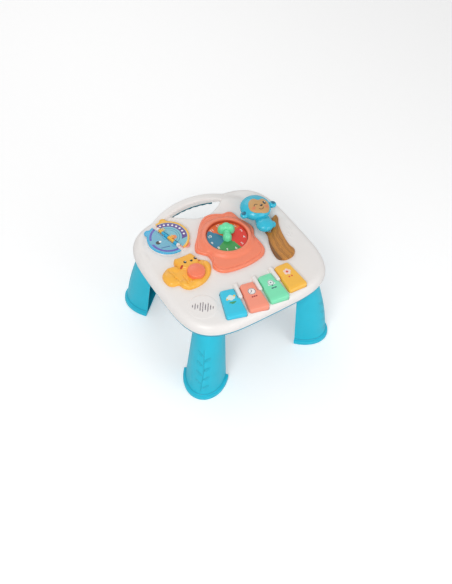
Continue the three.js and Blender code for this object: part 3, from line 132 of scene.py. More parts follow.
def smooth(points, per_share=12):
    """Closed centripetal Catmull-Rom curve through the points."""
    points = np.asarray(points, float)
    out = []
    for i in range(len(points)):
        p0, p1, p2, p3 = (points[(i + k - 1) % len(points)] for k in range(4))
        d0, d1, d2 = (max(np.linalg.norm(b - a) ** 0.5, 1e-6)
                      for a, b in ((p0, p1), (p1, p2), (p2, p3)))
        t1 = ((p1 - p0) / d0 - (p2 - p0) / (d0 + d1) + (p2 - p1) / d1) * d1
        t2 = ((p2 - p1) / d1 - (p3 - p1) / (d1 + d2) + (p3 - p2) / d2) * d1
        for k in range(per_share):
            t = k / per_share
            out.append(p1 + t1 * t + (-3 * p1 + 3 * p2 - 2 * t1 - t2) * t ** 2
                       + (2 * p1 - 2 * p2 + t1 + t2) * t ** 3)
    return np.array(out)


def shaped(shares, half_x, half_y, x, y, turn=0.0):
    """Outline given in shares of its half width and half depth, put round (x, y)."""
    return turned(np.asarray(shares) * (half_x, half_y), turn) + (x, y)


def polygon(outline, x, y):
    """Distance to a closed outline, above zero inside."""
    nearest = np.full(x.shape, 1e12)
    inside = np.zeros(x.shape, bool)
    for a, b in zip(outline, np.roll(outline, -1, 0)):
        e = b - a
        px, py = x - a[0], y - a[1]
        t = np.clip((px * e[0] + py * e[1]) / max(e @ e, 1e-12), 0, 1)
        nearest = np.minimum(nearest, (px - t * e[0]) ** 2 + (py - t * e[1]) ** 2)
        if e[1]:
            inside ^= ((a[1] > y) != (b[1] > y)) & (px < e[0] * py / e[1])
    return np.where(inside, np.sqrt(nearest), -np.sqrt(nearest))


def circle(cx, cy, radius, x, y):
    return radius - np.hypot(x - cx, y - cy)


def capsule(ax, ay, bx, by, radius, x, y):
    ex, ey = bx - ax, by - ay
    t = np.clip(((x - ax) * ex + (y - ay) * ey) / max(ex * ex + ey * ey, 1e-9), 0, 1)
    return radius - np.hypot(x - ax - t * ex, y - ay - t * ey)


def ellipse_share(cx, cy, half_x, half_y, turn, x, y):
    """0 in the middle of an ellipse and 1 on its edge."""
    c, s = math.cos(math.radians(turn)), math.sin(math.radians(turn))
    u, v = c * (x - cx) + s * (y - cy), -s * (x - cx) + c * (y - cy)
    return np.hypot(u / half_x, v / half_y)


def blend_max(a, b, k):
    """The larger of two fields, with a fillet of size k where they meet."""
    h = np.clip(0.5 + 0.5 * (a - b) / k, 0, 1)
    return b + (a - b) * h + k * h * (1 - h)


def step_up(low, high, value):
    t = np.clip((value - low) / (high - low), 0, 1)
    return t * t * (3 - 2 * t)


def edge_round(depth, round_in):
    """Quarter circle from 0 on the edge to 1 at round_in."""
    u = np.clip(depth / round_in, 0, 1)
    return np.sqrt(np.clip(1 - (1 - u) ** 2, 0, 1))


def band(fade_in, fade_out, value):
    """1 between two fades, and 0 outside them."""
    return step_up(*fade_in, value) * (1 - step_up(*fade_out, value))


def around(sides):
    """Angles of the corners of a ring."""
    return np.arange(sides) / sides * 2 * math.pi


def quarter(width, height, steps):
    """Points of a rounded edge, as ways inwards and upwards from where it starts."""
    for t in np.arange(1, steps + 1) / steps * math.pi / 2:
        yield width * (1 - math.cos(t)), height * math.sin(t)


def round_ring(x, y, radius, z, angles):
    """Points round (x, y). Radius and height may change with the angle."""
    points = np.broadcast_arrays(x + radius * np.cos(angles), y + radius * np.sin(angles), z)
    return np.stack(points, -1)


def framed(middle, turn, u, v):
    """Place of (u, v) in a frame that is turned round its middle."""
    x, y = turned([(u, v)], turn)[0] + middle
    return float(x), float(y)


def fillet(depth, radius):
    """How far a rounded edge lies back from the face."""
    return radius * (1 - edge_round(depth, radius))


def cut(field, *holes):
    """The field without the places where a hole's field is above zero."""
    for hole in holes:
        field = np.minimum(field, -hole)
    return field


def level(z):
    """Height field of a flat face."""
    return lambda x, y, d: np.full(x.shape, z)


def within(outline):
    """Field of an outline."""
    return lambda x, y: polygon(outline, x, y)


def placed(points, matrix):
    """Points moved by a matrix."""
    return (np.c_[points, np.ones(len(points))] @ np.array(matrix).T)[:, :3]


def table_outline(inset, steps=400):
    """The table's rim, nearly a rectangle with very round corners, moved inwards."""
    t = (np.arange(steps) + 0.5) / steps * 2 * math.pi
    c, s = np.cos(t), np.sin(t)
    return np.stack([(TABLE[0] - inset) * np.sign(c) * np.abs(c) ** 0.5,
                     (TABLE[1] - inset) * np.sign(s) * np.abs(s) ** 0.5], -1)


def rounded_corners(corners, radius, steps=8):
    out = []
    corners = np.asarray(corners, float)
    for i, corner in enumerate(corners):
        before, after = corners[i - 1] - corner, corners[(i + 1) % len(corners)] - corner
        start = corner + before / np.linalg.norm(before) * radius
        end = corner + after / np.linalg.norm(after) * radius
        for k in range(steps + 1):
            t = k / steps
            out.append((1 - t) ** 2 * start + 2 * t * (1 - t) * corner + t * t * end)
    return np.array(out)


# Meshes

WELD = 0.03  # points closer than this are joined
CLEARANCE = 0.04  # share of a step that grid points keep from an outline


def added(name, data):
    """Object of a mesh, curve, light or camera, put into the scene."""
    thing = bpy.data.objects.new(name, data)
    bpy.context.scene.collection.objects.link(thing)
    return thing


class Shell:
    """Collects surfaces in millimetres and makes one mesh object of them."""

    def __init__(self, name):
        self.name, self.points, self.faces, self.slots = name, [], [], []
        self.count = 0

    def add(self, points, faces, slot=0):
        points = np.asarray(points, float)
        self.points.append(points)
        self.faces += [tuple(int(i) + self.count for i in f) for f in faces]
        self.slots += [slot] * len(faces)
        self.count += len(points)

    def loft(self, rings, slot=0, caps=True):
        """Tube through rings with equal numbers of points."""
        n = len(rings[0])
        faces = []
        for r in range(len(rings) - 1):
            for i in range(n):
                a, b = r * n + i, r * n + (i + 1) % n
                faces.append((a, b, b + n, a + n))
        points = np.concatenate([np.asarray(r, float) for r in rings])
        if caps:
            faces.append(tuple(reversed(range(n))))
            faces.append(tuple(range(len(points) - n, len(points))))
        self.add(points, faces, slot)

    def lathe(self, profile, x, y, sides=96):
        """Turned solid. profile is a list of (radius, height), and both its ends are capped."""
        self.loft([round_ring(x, y, radius, z, around(sides)) for radius, z in profile])

    def relief(self, field, top, bottom, box, step, slot=0, matrix=None):
        """Solid over the plane region where field is above zero, between two height fields."""
        xs = np.arange(box[0], box[1] + step, step)
        ys = np.arange(box[2], box[3] + step, step)
        gx, gy = np.meshgrid(xs, ys)
        d = field(gx, gy)
        d = np.where(np.abs(d) < CLEARANCE * step, -CLEARANCE * step, d)
        inside = d > 0
        ids = np.full(d.shape, -1)
        ids[inside] = np.arange(inside.sum())
        px, py, pd = [gx[inside]], [gy[inside]], [d[inside]]
        total = inside.sum()

        def crossings(axis):
            nonlocal total
            a = (slice(None), slice(None, -1)) if axis else (slice(None, -1), slice(None))
            b = (slice(None), slice(1, None)) if axis else (slice(1, None), slice(None))
            hit = inside[a] != inside[b]
            t = d[a][hit] / (d[a][hit] - d[b][hit])
            px.append(gx[a][hit] + t * (gx[b][hit] - gx[a][hit]))
            py.append(gy[a][hit] + t * (gy[b][hit] - gy[a][hit]))
            pd.append(np.zeros(hit.sum()))
            out = np.full(hit.shape, -1)
            out[hit] = total + np.arange(hit.sum())
            total += hit.sum()
            return out

        along, up = crossings(1), crossings(0)
        corners = [inside[:-1, :-1], inside[:-1, 1:], inside[1:, 1:], inside[1:, :-1]]
        whole = np.logical_and.reduce(corners)
        cells = np.stack([ids[:-1, :-1][whole], ids[:-1, 1:][whole], ids[1:, 1:][whole],
                          ids[1:, :-1][whole]], -1)
        faces = [tuple(c) for c in cells.tolist()]
        mixed = np.logical_or.reduce(corners) & ~whole
        for j, i in zip(*np.nonzero(mixed)):
            at = ((j, i), (j, i + 1), (j + 1, i + 1), (j + 1, i))
            edge = (along[j, i], up[j, i + 1], along[j + 1, i], up[j, i])
            face = []
            for k in range(4):
                if inside[at[k]]:
                    face.append(int(ids[at[k]]))
                if edge[k] >= 0:
                    face.append(int(edge[k]))
            if len(face) > 2:
                faces.append(tuple(face))
        x, y, depth = (np.concatenate(v) for v in (px, py, pd))
        upper = np.stack([x, y, top(x, y, depth)], -1)
        lower = np.stack([x, y, bottom(x, y, depth)], -1)
        pairs = np.array([(f[k], f[(k + 1) % len(f)]) for f in faces for k in range(len(f))])
        key = np.sort(pairs, 1)
        _, index, counts = np.unique(key, axis=0, return_index=True, return_counts=True)
        walls = [(int(b), int(a), int(a) + len(x), int(b) + len(x)) for a, b in pairs[index[counts == 1]]]
        under = [tuple(v + len(x) for v in reversed(f)) for f in faces]
        points = np.concatenate([upper, lower])
        if matrix is not None:
            points = placed(points, matrix)
        self.add(points, faces + walls + under, slot)

    def build(self, materials, sharp=38.0):
        """Mesh object with smooth faces and edges that are sharp above an angle."""
        mesh = bpy.data.meshes.new(self.name)
        mesh.from_pydata([tuple(p) for p in np.concatenate(self.points) * MM], [], self.faces)
        mesh.polygons.foreach_set("material_index", self.slots)
        work = bmesh.new()
        work.from_mesh(mesh)
        bmesh.ops.remove_doubles(work, verts=work.verts, dist=WELD * MM)
        bmesh.ops.dissolve_degenerate(work, dist=WELD * MM, edges=work.edges)
        work.to_mesh(mesh)
        work.free()
        mesh.polygons.foreach_set("use_smooth", [True] * len(mesh.polygons))
        mesh.set_sharp_from_angle(angle=math.radians(sharp))
        for material in materials:
            mesh.materials.append(material)
        return added(self.name, mesh)


def ellipsoid(shell, middle, half, sides, rows):
    t = around(sides)
    rings = []
    for r in range(1, rows):
        v = r / rows * math.pi
        unit = np.stack([np.sin(v) * np.cos(t), np.sin(v) * np.sin(t), np.full(sides, -np.cos(v))], -1)
        rings.append(unit * half + middle)
    shell.loft(rings)


def finished(piece, body, nodes):
    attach(piece, body)
    if nodes:
        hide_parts(*nodes)


# Materials

TONE_NOISE, GRAIN_NOISE, WEAR_NOISE = (0.035, 3, 0.6), (0.9, 4, 0.55), (0.16, 5, 0.6)
WEAR, COAT_ROUGHNESS = 0.16, 0.12
FADE = 0.25  # millimetres over which the edge of a print fades


def linear(code):
    """Linear colour of a hexadecimal sRGB one."""
    rgb = [int(code[i:i + 2], 16) / 255 for i in (0, 2, 4)]
    return tuple(c / 12.92 if c <= 0.04045 else ((c + 0.055) / 1.055) ** 2.4 for c in rgb) + (1.0,)


class Nodes:
    """Node tree of a material or of the world."""

    def __init__(self, owner):
        owner.use_nodes = True
        self.tree = owner.node_tree

    def feed(self, socket, value):
        if isinstance(value, bpy.types.NodeSocket):
            self.tree.links.new(value, socket)
        else:
            socket.default_value = value

    def node(self, kind, inputs, **settings):
        """Outputs of a new node. Its inputs are given by number or name, each as a value or a socket."""
        node = self.tree.nodes.new(f"ShaderNode{kind}")
        for key, value in settings.items():
            setattr(node, key, value)
        for key, value in inputs.items():
            self.feed(node.inputs[key], value)
        return node.outputs

    def math(self, operation, *values, clamp=False):
        return self.node("Math", dict(enumerate(values)), operation=operation, use_clamp=clamp)[0]


class Paint(Nodes):
    """Moulded plastic with printed shapes, in millimetres of object space."""

    def __init__(self, name, colour, roughness, grain, tone, coat=0.0):
        self.material = bpy.data.materials.new(name)
        super().__init__(self.material)
        coords = self.node("TexCoord", {})
        self.position = self.node("VectorMath", {0: coords["Object"], "Scale": 1 / MM}, operation="SCALE")[0]
        self.places = {}
        self.x, self.y, self.z = self.parts(self.position)
        base = linear(colour)
        deep = tuple(c * (1 - tone) for c in base[:3]) + (1.0,)
        pale = tuple(min(c * (1 + tone) + 0.002, 1) for c in base[:3]) + (1.0,)
        self.colour = self.mix(self.noise(*TONE_NOISE), deep, pale)
        self.heights = self.math("MULTIPLY", self.noise(*GRAIN_NOISE), grain)
        self.set("Roughness", self.math("MULTIPLY_ADD", self.noise(*WEAR_NOISE), WEAR, roughness - WEAR / 2))
        self.set("Coat Weight", coat)
        self.set("Coat Roughness", COAT_ROUGHNESS)

    def set(self, name, value):
        self.feed(self.tree.nodes["Principled BSDF"].inputs[name], value)

    def mix(self, share, a, b):
        return self.node("Mix", {0: share, 6: a, 7: b}, data_type="RGBA")[2]

    def noise(self, scale, detail, roughness):
        inputs = {"Vector": self.position, "Scale": scale, "Detail": detail, "Roughness": roughness}
        return self.node("TexNoise", inputs)[0]

    def parts(self, vector):
        """The vector's x, y and z."""
        return tuple(self.node("SeparateXYZ", {0: vector}))

    def local(self, cx, cy, turn=0.0, sx=1.0, sy=1.0):
        """Vector of the place in a turned and scaled frame round (cx, cy), with z left out."""
        key = (cx, cy, turn, sx, sy)
        if key not in self.places:
            inputs = {"Vector": self.position, "Location": (cx, cy, 0), "Scale": (sx, sy, 1e6),
                      "Rotation": (0, 0, math.radians(turn))}
            self.places[key] = self.node("Mapping", inputs, vector_type="TEXTURE")[0]
        return self.places[key]

    def length(self, vector):
        return self.node("VectorMath", {0: vector}, operation="LENGTH")["Value"]

    def below(self, value, limit, soft):
        """1 where value is under limit, fading over soft."""
        return self.math("MULTIPLY_ADD", value, -1 / soft, limit / soft + 0.5, clamp=True)

    def above(self, value, limit, soft):
        return self.math("SUBTRACT", 1.0, self.below(value, limit, soft))

    def away(self, value, middle):
        """How far value is from middle, on either side."""
        return self.math("ABSOLUTE", self.math("SUBTRACT", value, middle))

    def ellipse(self, cx, cy, rx, ry=None, turn=0.0, soft=FADE):
        ry = ry or rx
        return self.below(self.length(self.local(cx, cy, turn, rx, ry)), 1.0, soft / min(rx, ry))

    def ring(self, cx, cy, radius, width, soft=FADE, aspect=1.0, turn=0.0):
        off = self.away(self.length(self.local(cx, cy, turn, radius, radius * aspect)), 1.0)
        return self.below(off, width / 2 / radius, soft / radius)

    def half_plane(self, cx, cy, turn):
        """1 on the side that the turned Y axis points to."""
        _, side, _ = self.parts(self.local(cx, cy, turn))
        return self.math("MULTIPLY_ADD", side, 1 / FADE, 0.5, clamp=True)

    def bar(self, ax, ay, bx, by, radius, soft=FADE):
        """Straight stroke with round ends."""
        turn = math.degrees(math.atan2(by - ay, bx - ax))
        along, side, _ = self.parts(self.local(ax, ay, turn))
        held = self.math("MINIMUM", self.math("MAXIMUM", along, 0.0), math.hypot(bx - ax, by - ay))
        past = self.math("SUBTRACT", along, held)
        square = self.math("ADD", self.math("MULTIPLY", past, past), self.math("MULTIPLY", side, side))
        return self.below(self.math("SQRT", square), radius, soft)

    def chain(self, operation, masks):
        out, *others = masks
        for mask in others:
            out = self.math(operation, out, mask)
        return out

    def both(self, *masks):
        return self.chain("MULTIPLY", masks)

    def either(self, *masks):
        return self.chain("MAXIMUM", masks)

    def dots(self, *ellipses):
        return self.either(*(self.ellipse(*values) for values in ellipses))

    def bars(self, *strokes):
        return self.either(*(self.bar(*values) for values in strokes))

    def over(self, mask, colour, share=None):
        """Prints a colour where the mask is 1, or a share of it."""
        if share:
            mask = self.math("MULTIPLY", mask, share)
        self.colour = self.mix(mask, self.colour, linear(colour))

    def emboss(self, mask, height):
        self.heights = self.math("MULTIPLY_ADD", mask, height, self.heights)

    def done(self):
        bump = self.node("Bump", {"Strength": 1.0, "Distance": MM, "Height": self.heights})
        self.set("Normal", bump[0])
        self.set("Base Color", self.colour)
        return self.material


def metal(name, colour, roughness, grain, tone):
    paint = Paint(name, colour, roughness, grain, tone)
    paint.set("Metallic", 1.0)
    return paint


SPRIG = -13.0  # middle of the sprig, across the leg
STEM = ((-2, 24), (2, 84), (-1, 138))  # its stem, round that middle
LEAF_HEIGHTS = range(32, 134, 13)
CREASE_Z = 12.6  # where the leg comes out of its foot


def leg_paint():
    """Teal with a faint sprig of leaves moulded on each leg's outer side and a crease over its foot, with
    painted shade along the sprig and the crease.
    """
    paint = Paint("leg_plastic", "10BFDA", 0.40, 0.10, 0.06)
    turn = math.radians(LEG_ANGLE)
    far_x = paint.math("MULTIPLY", paint.math("ABSOLUTE", paint.x), math.sin(turn))
    far_y = paint.math("MULTIPLY", paint.math("ABSOLUTE", paint.y), math.cos(turn))
    paint.position = paint.node("CombineXYZ", {0: paint.math("SUBTRACT", far_y, far_x), 1: paint.z})[0]
    low, middle, high = ((SPRIG + u, z) for u, z in STEM)
    sprig = [paint.bar(*low, *middle, 0.8), paint.bar(*middle, *high, 0.7)]
    for k, z in enumerate(LEAF_HEIGHTS):
        side = -1 if k % 2 else 1
        sprig.append(paint.ring(SPRIG + side * 8.5, z + 5, 6.6, 1.2, soft=0.5, aspect=0.48, turn=side * 38))
        sprig.append(paint.bar(SPRIG, z, SPRIG + side * 11, z + 8, 0.45))
    sprig = paint.either(*sprig)
    paint.emboss(sprig, 0.7)
    # Painted shade: a darker teal along the crease over the foot and, more faintly, along the moulded sprig
    crease = paint.below(paint.away(paint.z, CREASE_Z), 0.8, 0.8)
    shade = paint.either(paint.math("MULTIPLY", sprig, 0.30), paint.math("MULTIPLY", crease, 0.7))
    paint.over(shade, "0C8FAE")
    return paint.done()


SHELL_TEAL = ("2AA3BE", 0.42, 0.14, 0.06)  # colour, roughness, grain and tone of shell and battery door
WHITE = Paint("white_plastic", "F1EDEA", 0.36, 0.06, 0.02).done()
TEAL = leg_paint()
# Painted shade: the legs' inner walls are the same teal plastic, darkened to stand in for the shadow inside
# the hollow
SHADED_LEG_INSIDE = Paint("leg_inside_painted_shade", "064A5E", 0.5, 0.10, 0.08).done()
DARK_TEAL = Paint("dark_teal_plastic", "14707F", 0.42, 0.08, 0.06).done()
MINT = Paint("mint_plastic", "6FE5AC", 0.30, 0.08, 0.06).done()
DRUM_CORAL = Paint("drum_plastic", "FF8260", 0.32, 0.10, 0.06).done()
BLACK = Paint("black_plastic", "17181C", 0.22, 0.05, 0.10).done()
STEEL = metal("zinc_steel", "B9BCC0", 0.32, 0.04, 0.08).done()


# Top cover with the handle's upper half, the mound and the fingers between the keys

BAY = smooth(shaped(BAY_SHARES, *BAY_HALF, *BAY_MIDDLE))
OUTLINE = table_outline(0)


def key_matrix(place):
    x, y, pitch, bow = KEYBOARD
    return (Matrix.Translation((x + pitch * place, y + bow * place ** 2, 0))
            @ Matrix.Rotation(-math.radians(KEY_LEAN - KEY_LEAN_STEP * place), 4, "Z"))


def moved(outline, matrix):
    return np.array([(matrix @ Vector((p[0], p[1], 0)))[:2] for p in outline])


def key_outline(grow):
    front, rear = -KEY_SETBACK - KEY_LENGTH - grow, -KEY_SETBACK + grow
    half_front, half_rear = KEY_FRONT / 2 + grow, KEY_REAR / 2 + grow
    return rounded_corners([(-half_front, front), (half_front, front), (half_rear, rear),
                            (-half_rear, rear)], KEY_CORNER + grow)


def finger_outline(grow):
    width, length, offset = FINGER
    half, front = width / 2 + grow, -KEY_SETBACK - length - grow
    return rounded_corners([(-offset - half, front), (-offset + half, front),
                            (-offset + half, KEY_SETBACK), (-offset - half, KEY_SETBACK)], width / 2)


def handle_section(share, seam, crest):
    """Half of the grip's section between the seam and its crest, at a share of the half span."""
    along = share * HANDLE_SPAN * HANDLE_END_SHARE
    x, y = HANDLE_X + along, HANDLE_Y - HANDLE_SAG * (along / HANDLE_SPAN) ** 2
    slope = -2 * HANDLE_SAG * along / HANDLE_SPAN ** 2
    out = np.array([-slope, 1]) / math.hypot(slope, 1)
    t = np.linspace(0, math.pi, 33)
    reach = HANDLE_HALF * np.sign(np.cos(t)) * np.abs(np.cos(t)) ** 0.6
    rise = seam + (crest - seam) * np.maximum(np.sin(t), 0) ** 0.6
    return np.stack([x + out[0] * reach, y + out[1] * reach, rise], -1)


def cover_fields(x, y):
    """Depths inside the rim and inside the body."""
    rim = polygon(OUTLINE, x, y)
    return rim, cut(rim, polygon(BAY, x, y))


def cover_region(x, y):
    keys = [polygon(moved(key_outline(0.8), key_matrix(place)), x, y) for place in KEY_PLACES]
    slots = [capsule(*a, *b, SLOT_WIDTH / 2, x, y) for a, b in grille()]
    return cut(cover_fields(x, y)[1], *keys, *slots)


def grille():
    for i, share in enumerate(SLOT_SHARES):
        u = (i - (len(SLOT_SHARES) - 1) / 2) * SLOT_PITCH
        half = SLOT_LENGTH / 2 * share - SLOT_WIDTH / 2
        ends = turned([(u, -half), (u, half)], SLOT_TURN) + SPEAKER
        yield tuple(ends[0]), tuple(ends[1])


EDGE_Z, EDGE_ROUND, EDGE_MIN = 205.0, 8.0, 0.02  # the cover's rounded edge along the bay
RIPPLE_SIDE = ((-0.25, 0.1), (2.7, 2.95))  # radians where the scallops fade in and out
RIPPLE_BAND = ((9, 14), (20, 27))  # the same, as depths inside the rim
RIPPLE_HEIGHT, RIPPLE_WAVES = 1.2, 17
FIELD_RADIUS, FIELD_HEIGHT, FIELD_EDGE = 31, 0.9, (10, 14)  # raised field of the speaker slots
EDGE_FLOOR = 203  # the cover's underside along the bay


def ripples(x, y, rim):
    """Shallow scallops that run round the right and rear edges."""
    turn = np.arctan2(y, x)
    waves = RIPPLE_HEIGHT * np.abs(np.sin(turn * RIPPLE_WAVES)) ** 1.6
    return band(*RIPPLE_SIDE, turn) * band(*RIPPLE_BAND, rim) * waves


GRASS = [((139, -30), (136, -20)), ((142, -31), (142, -17)), ((145, -30), (149, -21)),
         ((150, -12), (148, -3)), ((153, -12), (155, -1))]


def cover_top(x, y, depth):
    rim, body = cover_fields(x, y)
    z = RIM_Z + (TOP_Z - RIM_Z) * edge_round(rim, RIM_ROUND)
    z = np.minimum(z, EDGE_Z + (TOP_Z - EDGE_Z) * edge_round(np.maximum(body, EDGE_MIN), EDGE_ROUND))
    z = z + MOUND[5] * (1 - step_up(0.15, 1.08, ellipse_share(*MOUND[:5], x, y)))
    z = z + ripples(x, y, rim)
    raised = step_up(0, 2.0, circle(*SPEAKER, FIELD_RADIUS, x, y)) * step_up(*FIELD_EDGE, rim)
    z = z + FIELD_HEIGHT * raised
    for a, b in GRASS:
        z = z + 0.7 * edge_round(capsule(*a, *b, 1.6, x, y), 1.6)
    return z


def cover_bottom(x, y, depth):
    rim, body = cover_fields(x, y)
    inner = RIM_Z + (TOP_Z - WALL - RIM_Z) * edge_round(rim - WALL, RIM_ROUND)
    inner = np.minimum(inner, TOP_Z - WALL)
    z = np.where(rim > WALL, inner, RIM_Z)
    z = np.where(body > 3 * WALL, z, np.minimum(z, EDGE_FLOOR))
    return np.where(body > WALL, z, RIM_Z)


def cover_paint():
    paint = Paint("cover_plastic", "F1EDEA", 0.34, 0.06, 0.02)
    paint.emboss(paint.noise(0.45, 2, 0.5), 0.05)
    # Painted shade: the cover turns greyer towards its lower edges and underside, below EDGE_FLOOR
    paint.over(paint.below(paint.z, EDGE_FLOOR, 14.0), "D9D6D6", 0.35)
    return paint.done()


COVER_SPAN = (-184, 184, -174, 174)
FINGER_SPAN, FINGER_TOP, FINGER_ROUND = (-10, 6, -38, 8), 222.0, 4.5
HANDLE_DIP = HANDLE_TOP - TOP_Z + 0.4  # how far the handle's ends lie under its middle
STAND_TOP, STAND_BEVEL = 216.0, 0.8  # the round stand of the book


def make_cover():
    shell = Shell("cover")
    shell.relief(cover_region, cover_top, cover_bottom, COVER_SPAN, 1.0)
    shell.loft([handle_section(share, HANDLE_SEAM, HANDLE_TOP - HANDLE_DIP * abs(share) ** 3)
                for share in np.linspace(-1, 1, 97)])
    low = TOP_Z - WALL
    for place in FINGER_PLACES:
        shell.relief(within(finger_outline(0)),
                     lambda x, y, d: low + (FINGER_TOP - TOP_Z + WALL) * edge_round(d, FINGER_ROUND),
                     level(low), FINGER_SPAN, 0.6, matrix=key_matrix(place))
    shell.lathe([(1, TOP_Z - 1), (BOOK_RADIUS, TOP_Z - 1), (BOOK_RADIUS, STAND_TOP - STAND_BEVEL),
                 (BOOK_RADIUS - STAND_BEVEL, STAND_TOP), (1, STAND_TOP)], *BOOK[:2], 128)
    for end in (-1, 1):
        book_lug(shell, end)
    finished(shell.build([cover_paint()]), "table", ["top_cover"])


def book_matrix():
    return Matrix.Translation((BOOK[0], BOOK[1], 0)) @ Matrix.Rotation(math.radians(BOOK[2]), 4, "Z")


def barrel(shell, y0, y1, radius, slot=0, sides=32, edge=0.5):
    """Round bar on the book's hinge line with softened ends."""
    t = around(sides)
    rings = []
    for y, r in ((y0, radius - edge), (y0 + edge, radius), (y1 - edge, radius), (y1, radius - edge)):
        ring = np.stack([r * np.sin(t), np.full(sides, y), BOOK_AXIS + r * np.cos(t)], -1)
        rings.append(placed(ring, book_matrix()))
    shell.loft(rings, slot)


LUG_ENDS, LUG_RADIUS = (28.4, 33.4), 4.0


def book_lug(shell, end):
    y0, y1 = sorted((end * LUG_ENDS[0], end * LUG_ENDS[1]))
    barrel(shell, y0, y1, LUG_RADIUS)
    shell.relief(lambda x, y: np.minimum(LUG_RADIUS - np.abs(x), 2.5 - np.abs(y - (y0 + y1) / 2)),
                 level(BOOK_AXIS), level(TOP_Z - 1), (-5, 5, y0 - 1, y1 + 1), 0.5, matrix=book_matrix())


GRIP_ENDS, GRIP_WAVE = (-0.70, 0.66), 1.1  # shares of the half span, and half the depth of a dent


def make_handle_lower():
    shell = Shell("handle_underside")
    rings = []
    for share in np.linspace(*GRIP_ENDS, 121):
        wave = GRIP_WAVE * math.cos(2 * math.pi * share * HANDLE_SPAN * HANDLE_END_SHARE / GRIP_PITCH)
        ring = handle_section(share, HANDLE_SEAM - 0.3, HANDLE_BOTTOM + GRIP_WAVE + wave)
        rings.append(ring[::-1])
    shell.loft(rings)
    finished(shell.build([DARK_TEAL]), "table", ["handle_lower"])


# Base shell and legs

def leg_turn(sx, sy):
    """Degrees that the leg's outer side is turned from the X axis."""
    turn = math.radians(LEG_ANGLE)
    return math.degrees(math.atan2(sy * math.sin(turn), sx * math.cos(turn)))


def leg_middle(sx, sy, z):
    share = 1 - LEG_DRAW_IN * z / BASE_Z
    return np.array([sx * FOOT[0] * share, sy * FOOT[1] * share])


def leg_arc(sx, sy, z, reach, half, at=None, back=0.0, steps=64):
    """Points at height z of half an ellipse round the middle of the leg's flat side at height at."""
    t = np.linspace(-math.pi / 2, math.pi / 2, steps + 1)
    p = np.stack([np.maximum(reach * np.cos(t), 0.0), half * np.sin(t)], -1)
    if back:
        p = np.concatenate([p, [(-back, half), (-back, -half)]])
    p = turned(p, leg_turn(sx, sy)) + leg_middle(sx, sy, z if at is None else at)
    return np.c_[p, np.full(len(p), z)]


def spread(pair, z, power=1):
    """A size that changes from the first value at the floor to the second under the table."""
    return pair[1] + (pair[0] - pair[1]) * (1 - (z / BASE_Z) ** power)


def leg_side(sx, sy, z, grow):
    """The leg's outline at height z, moved outwards by grow."""
    return leg_arc(sx, sy, z, spread(LEG_REACH, z, 2) + grow, spread(LEG_HALF, z) + grow)


def plug_side(sx, sy, z, grow, back=0.0):
    """The same for the plug on the leg's top."""
    return leg_arc(sx, sy, z, LEG_REACH[1] - PLUG_STEP + grow, LEG_HALF[1] - PLUG_STEP + grow, BASE_Z, back)


LEG_CORNERS = {"front_left": (-1, -1), "front_right": (1, -1), "rear_left": (-1, 1), "rear_right": (1, 1)}
SOLE_RINGS = ((0.0, 4.6), (0.5, 5.3), (1.4, 5.55), (SOLE, 5.55))  # heights, and how far the foot stands out
FOOT_RINGS = ((SOLE - 0.5, 5.6), (10.0, 5.6), (10.7, 5.3), (11.0, 4.6), (11.3, 1.6), (11.8, 0.7), (13, 0))
TOP_RINGS = ((LEG_TOP - 1.4, 0.0), (LEG_TOP - 0.4, -0.5), (LEG_TOP, -1.3))
PLUG_RINGS = ((LEG_TOP - 2, 0.0), (PLUG_TOP - 1.2, 0.0), (PLUG_TOP, -1.0))
LID_INSET, LID_HEIGHTS = 1.5, (LEG_TOP - 3, LEG_TOP - 0.02)


def make_leg(name, sx, sy):
    shell = Shell(f"leg_{name}_moulding")
    straight = tuple((z, 0.0) for z in np.linspace(20, 176, 14))
    rings = [np.concatenate([leg_side(sx, sy, z, grow), leg_side(sx, sy, z, -LEG_WALL)[::-1]])
             for z, grow in FOOT_RINGS + straight + TOP_RINGS]
    shell.loft(rings, caps=False)
    points = len(rings[0])
    # Faces of the inner wall take the darker teal, which is painted shade for the inside of the hollow leg
    shell.slots = [int(k % points >= points // 2) for k in range(len(shell.slots))]
    shell.loft([leg_side(sx, sy, z, grow) for z, grow in SOLE_RINGS])
    shell.loft([leg_arc(sx, sy, z, LEG_REACH[1] - LID_INSET, LEG_HALF[1] - LID_INSET) for z in LID_HEIGHTS])
    shell.loft([plug_side(sx, sy, z, grow) for z, grow in PLUG_RINGS])
    finished(shell.build([TEAL, SHADED_LEG_INSIDE], 30), f"leg_{name}", [f"leg_{name}"])


BASE_OUTLINE = table_outline(1.2)
BASE_SPAN = (-180, 180, -171, 171)
SOCKET_GAP = 0.3
SCREW_HOLE, DOOR_GAP = 3.4, 0.5
SWITCH_SLOT = ((61.8, 0.8), (78.2, 7.2))
SEAM_Z = 193.2


def outside_box(box, x, y):
    (x0, y0), (x1, y1) = box
    return np.maximum(np.maximum(x0 - x, x - x1), np.maximum(y0 - y, y - y1))


def box_middle(name):
    """Middle of a node's box in millimetres, and the height of its lower side."""
    (x0, y0, z0), (x1, y1, _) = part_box(name)
    return (x0 + x1) / 2 / MM, (y0 + y1) / 2 / MM, z0 / MM


def case_screws():
    return sorted(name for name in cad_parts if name.startswith("case_screw"))


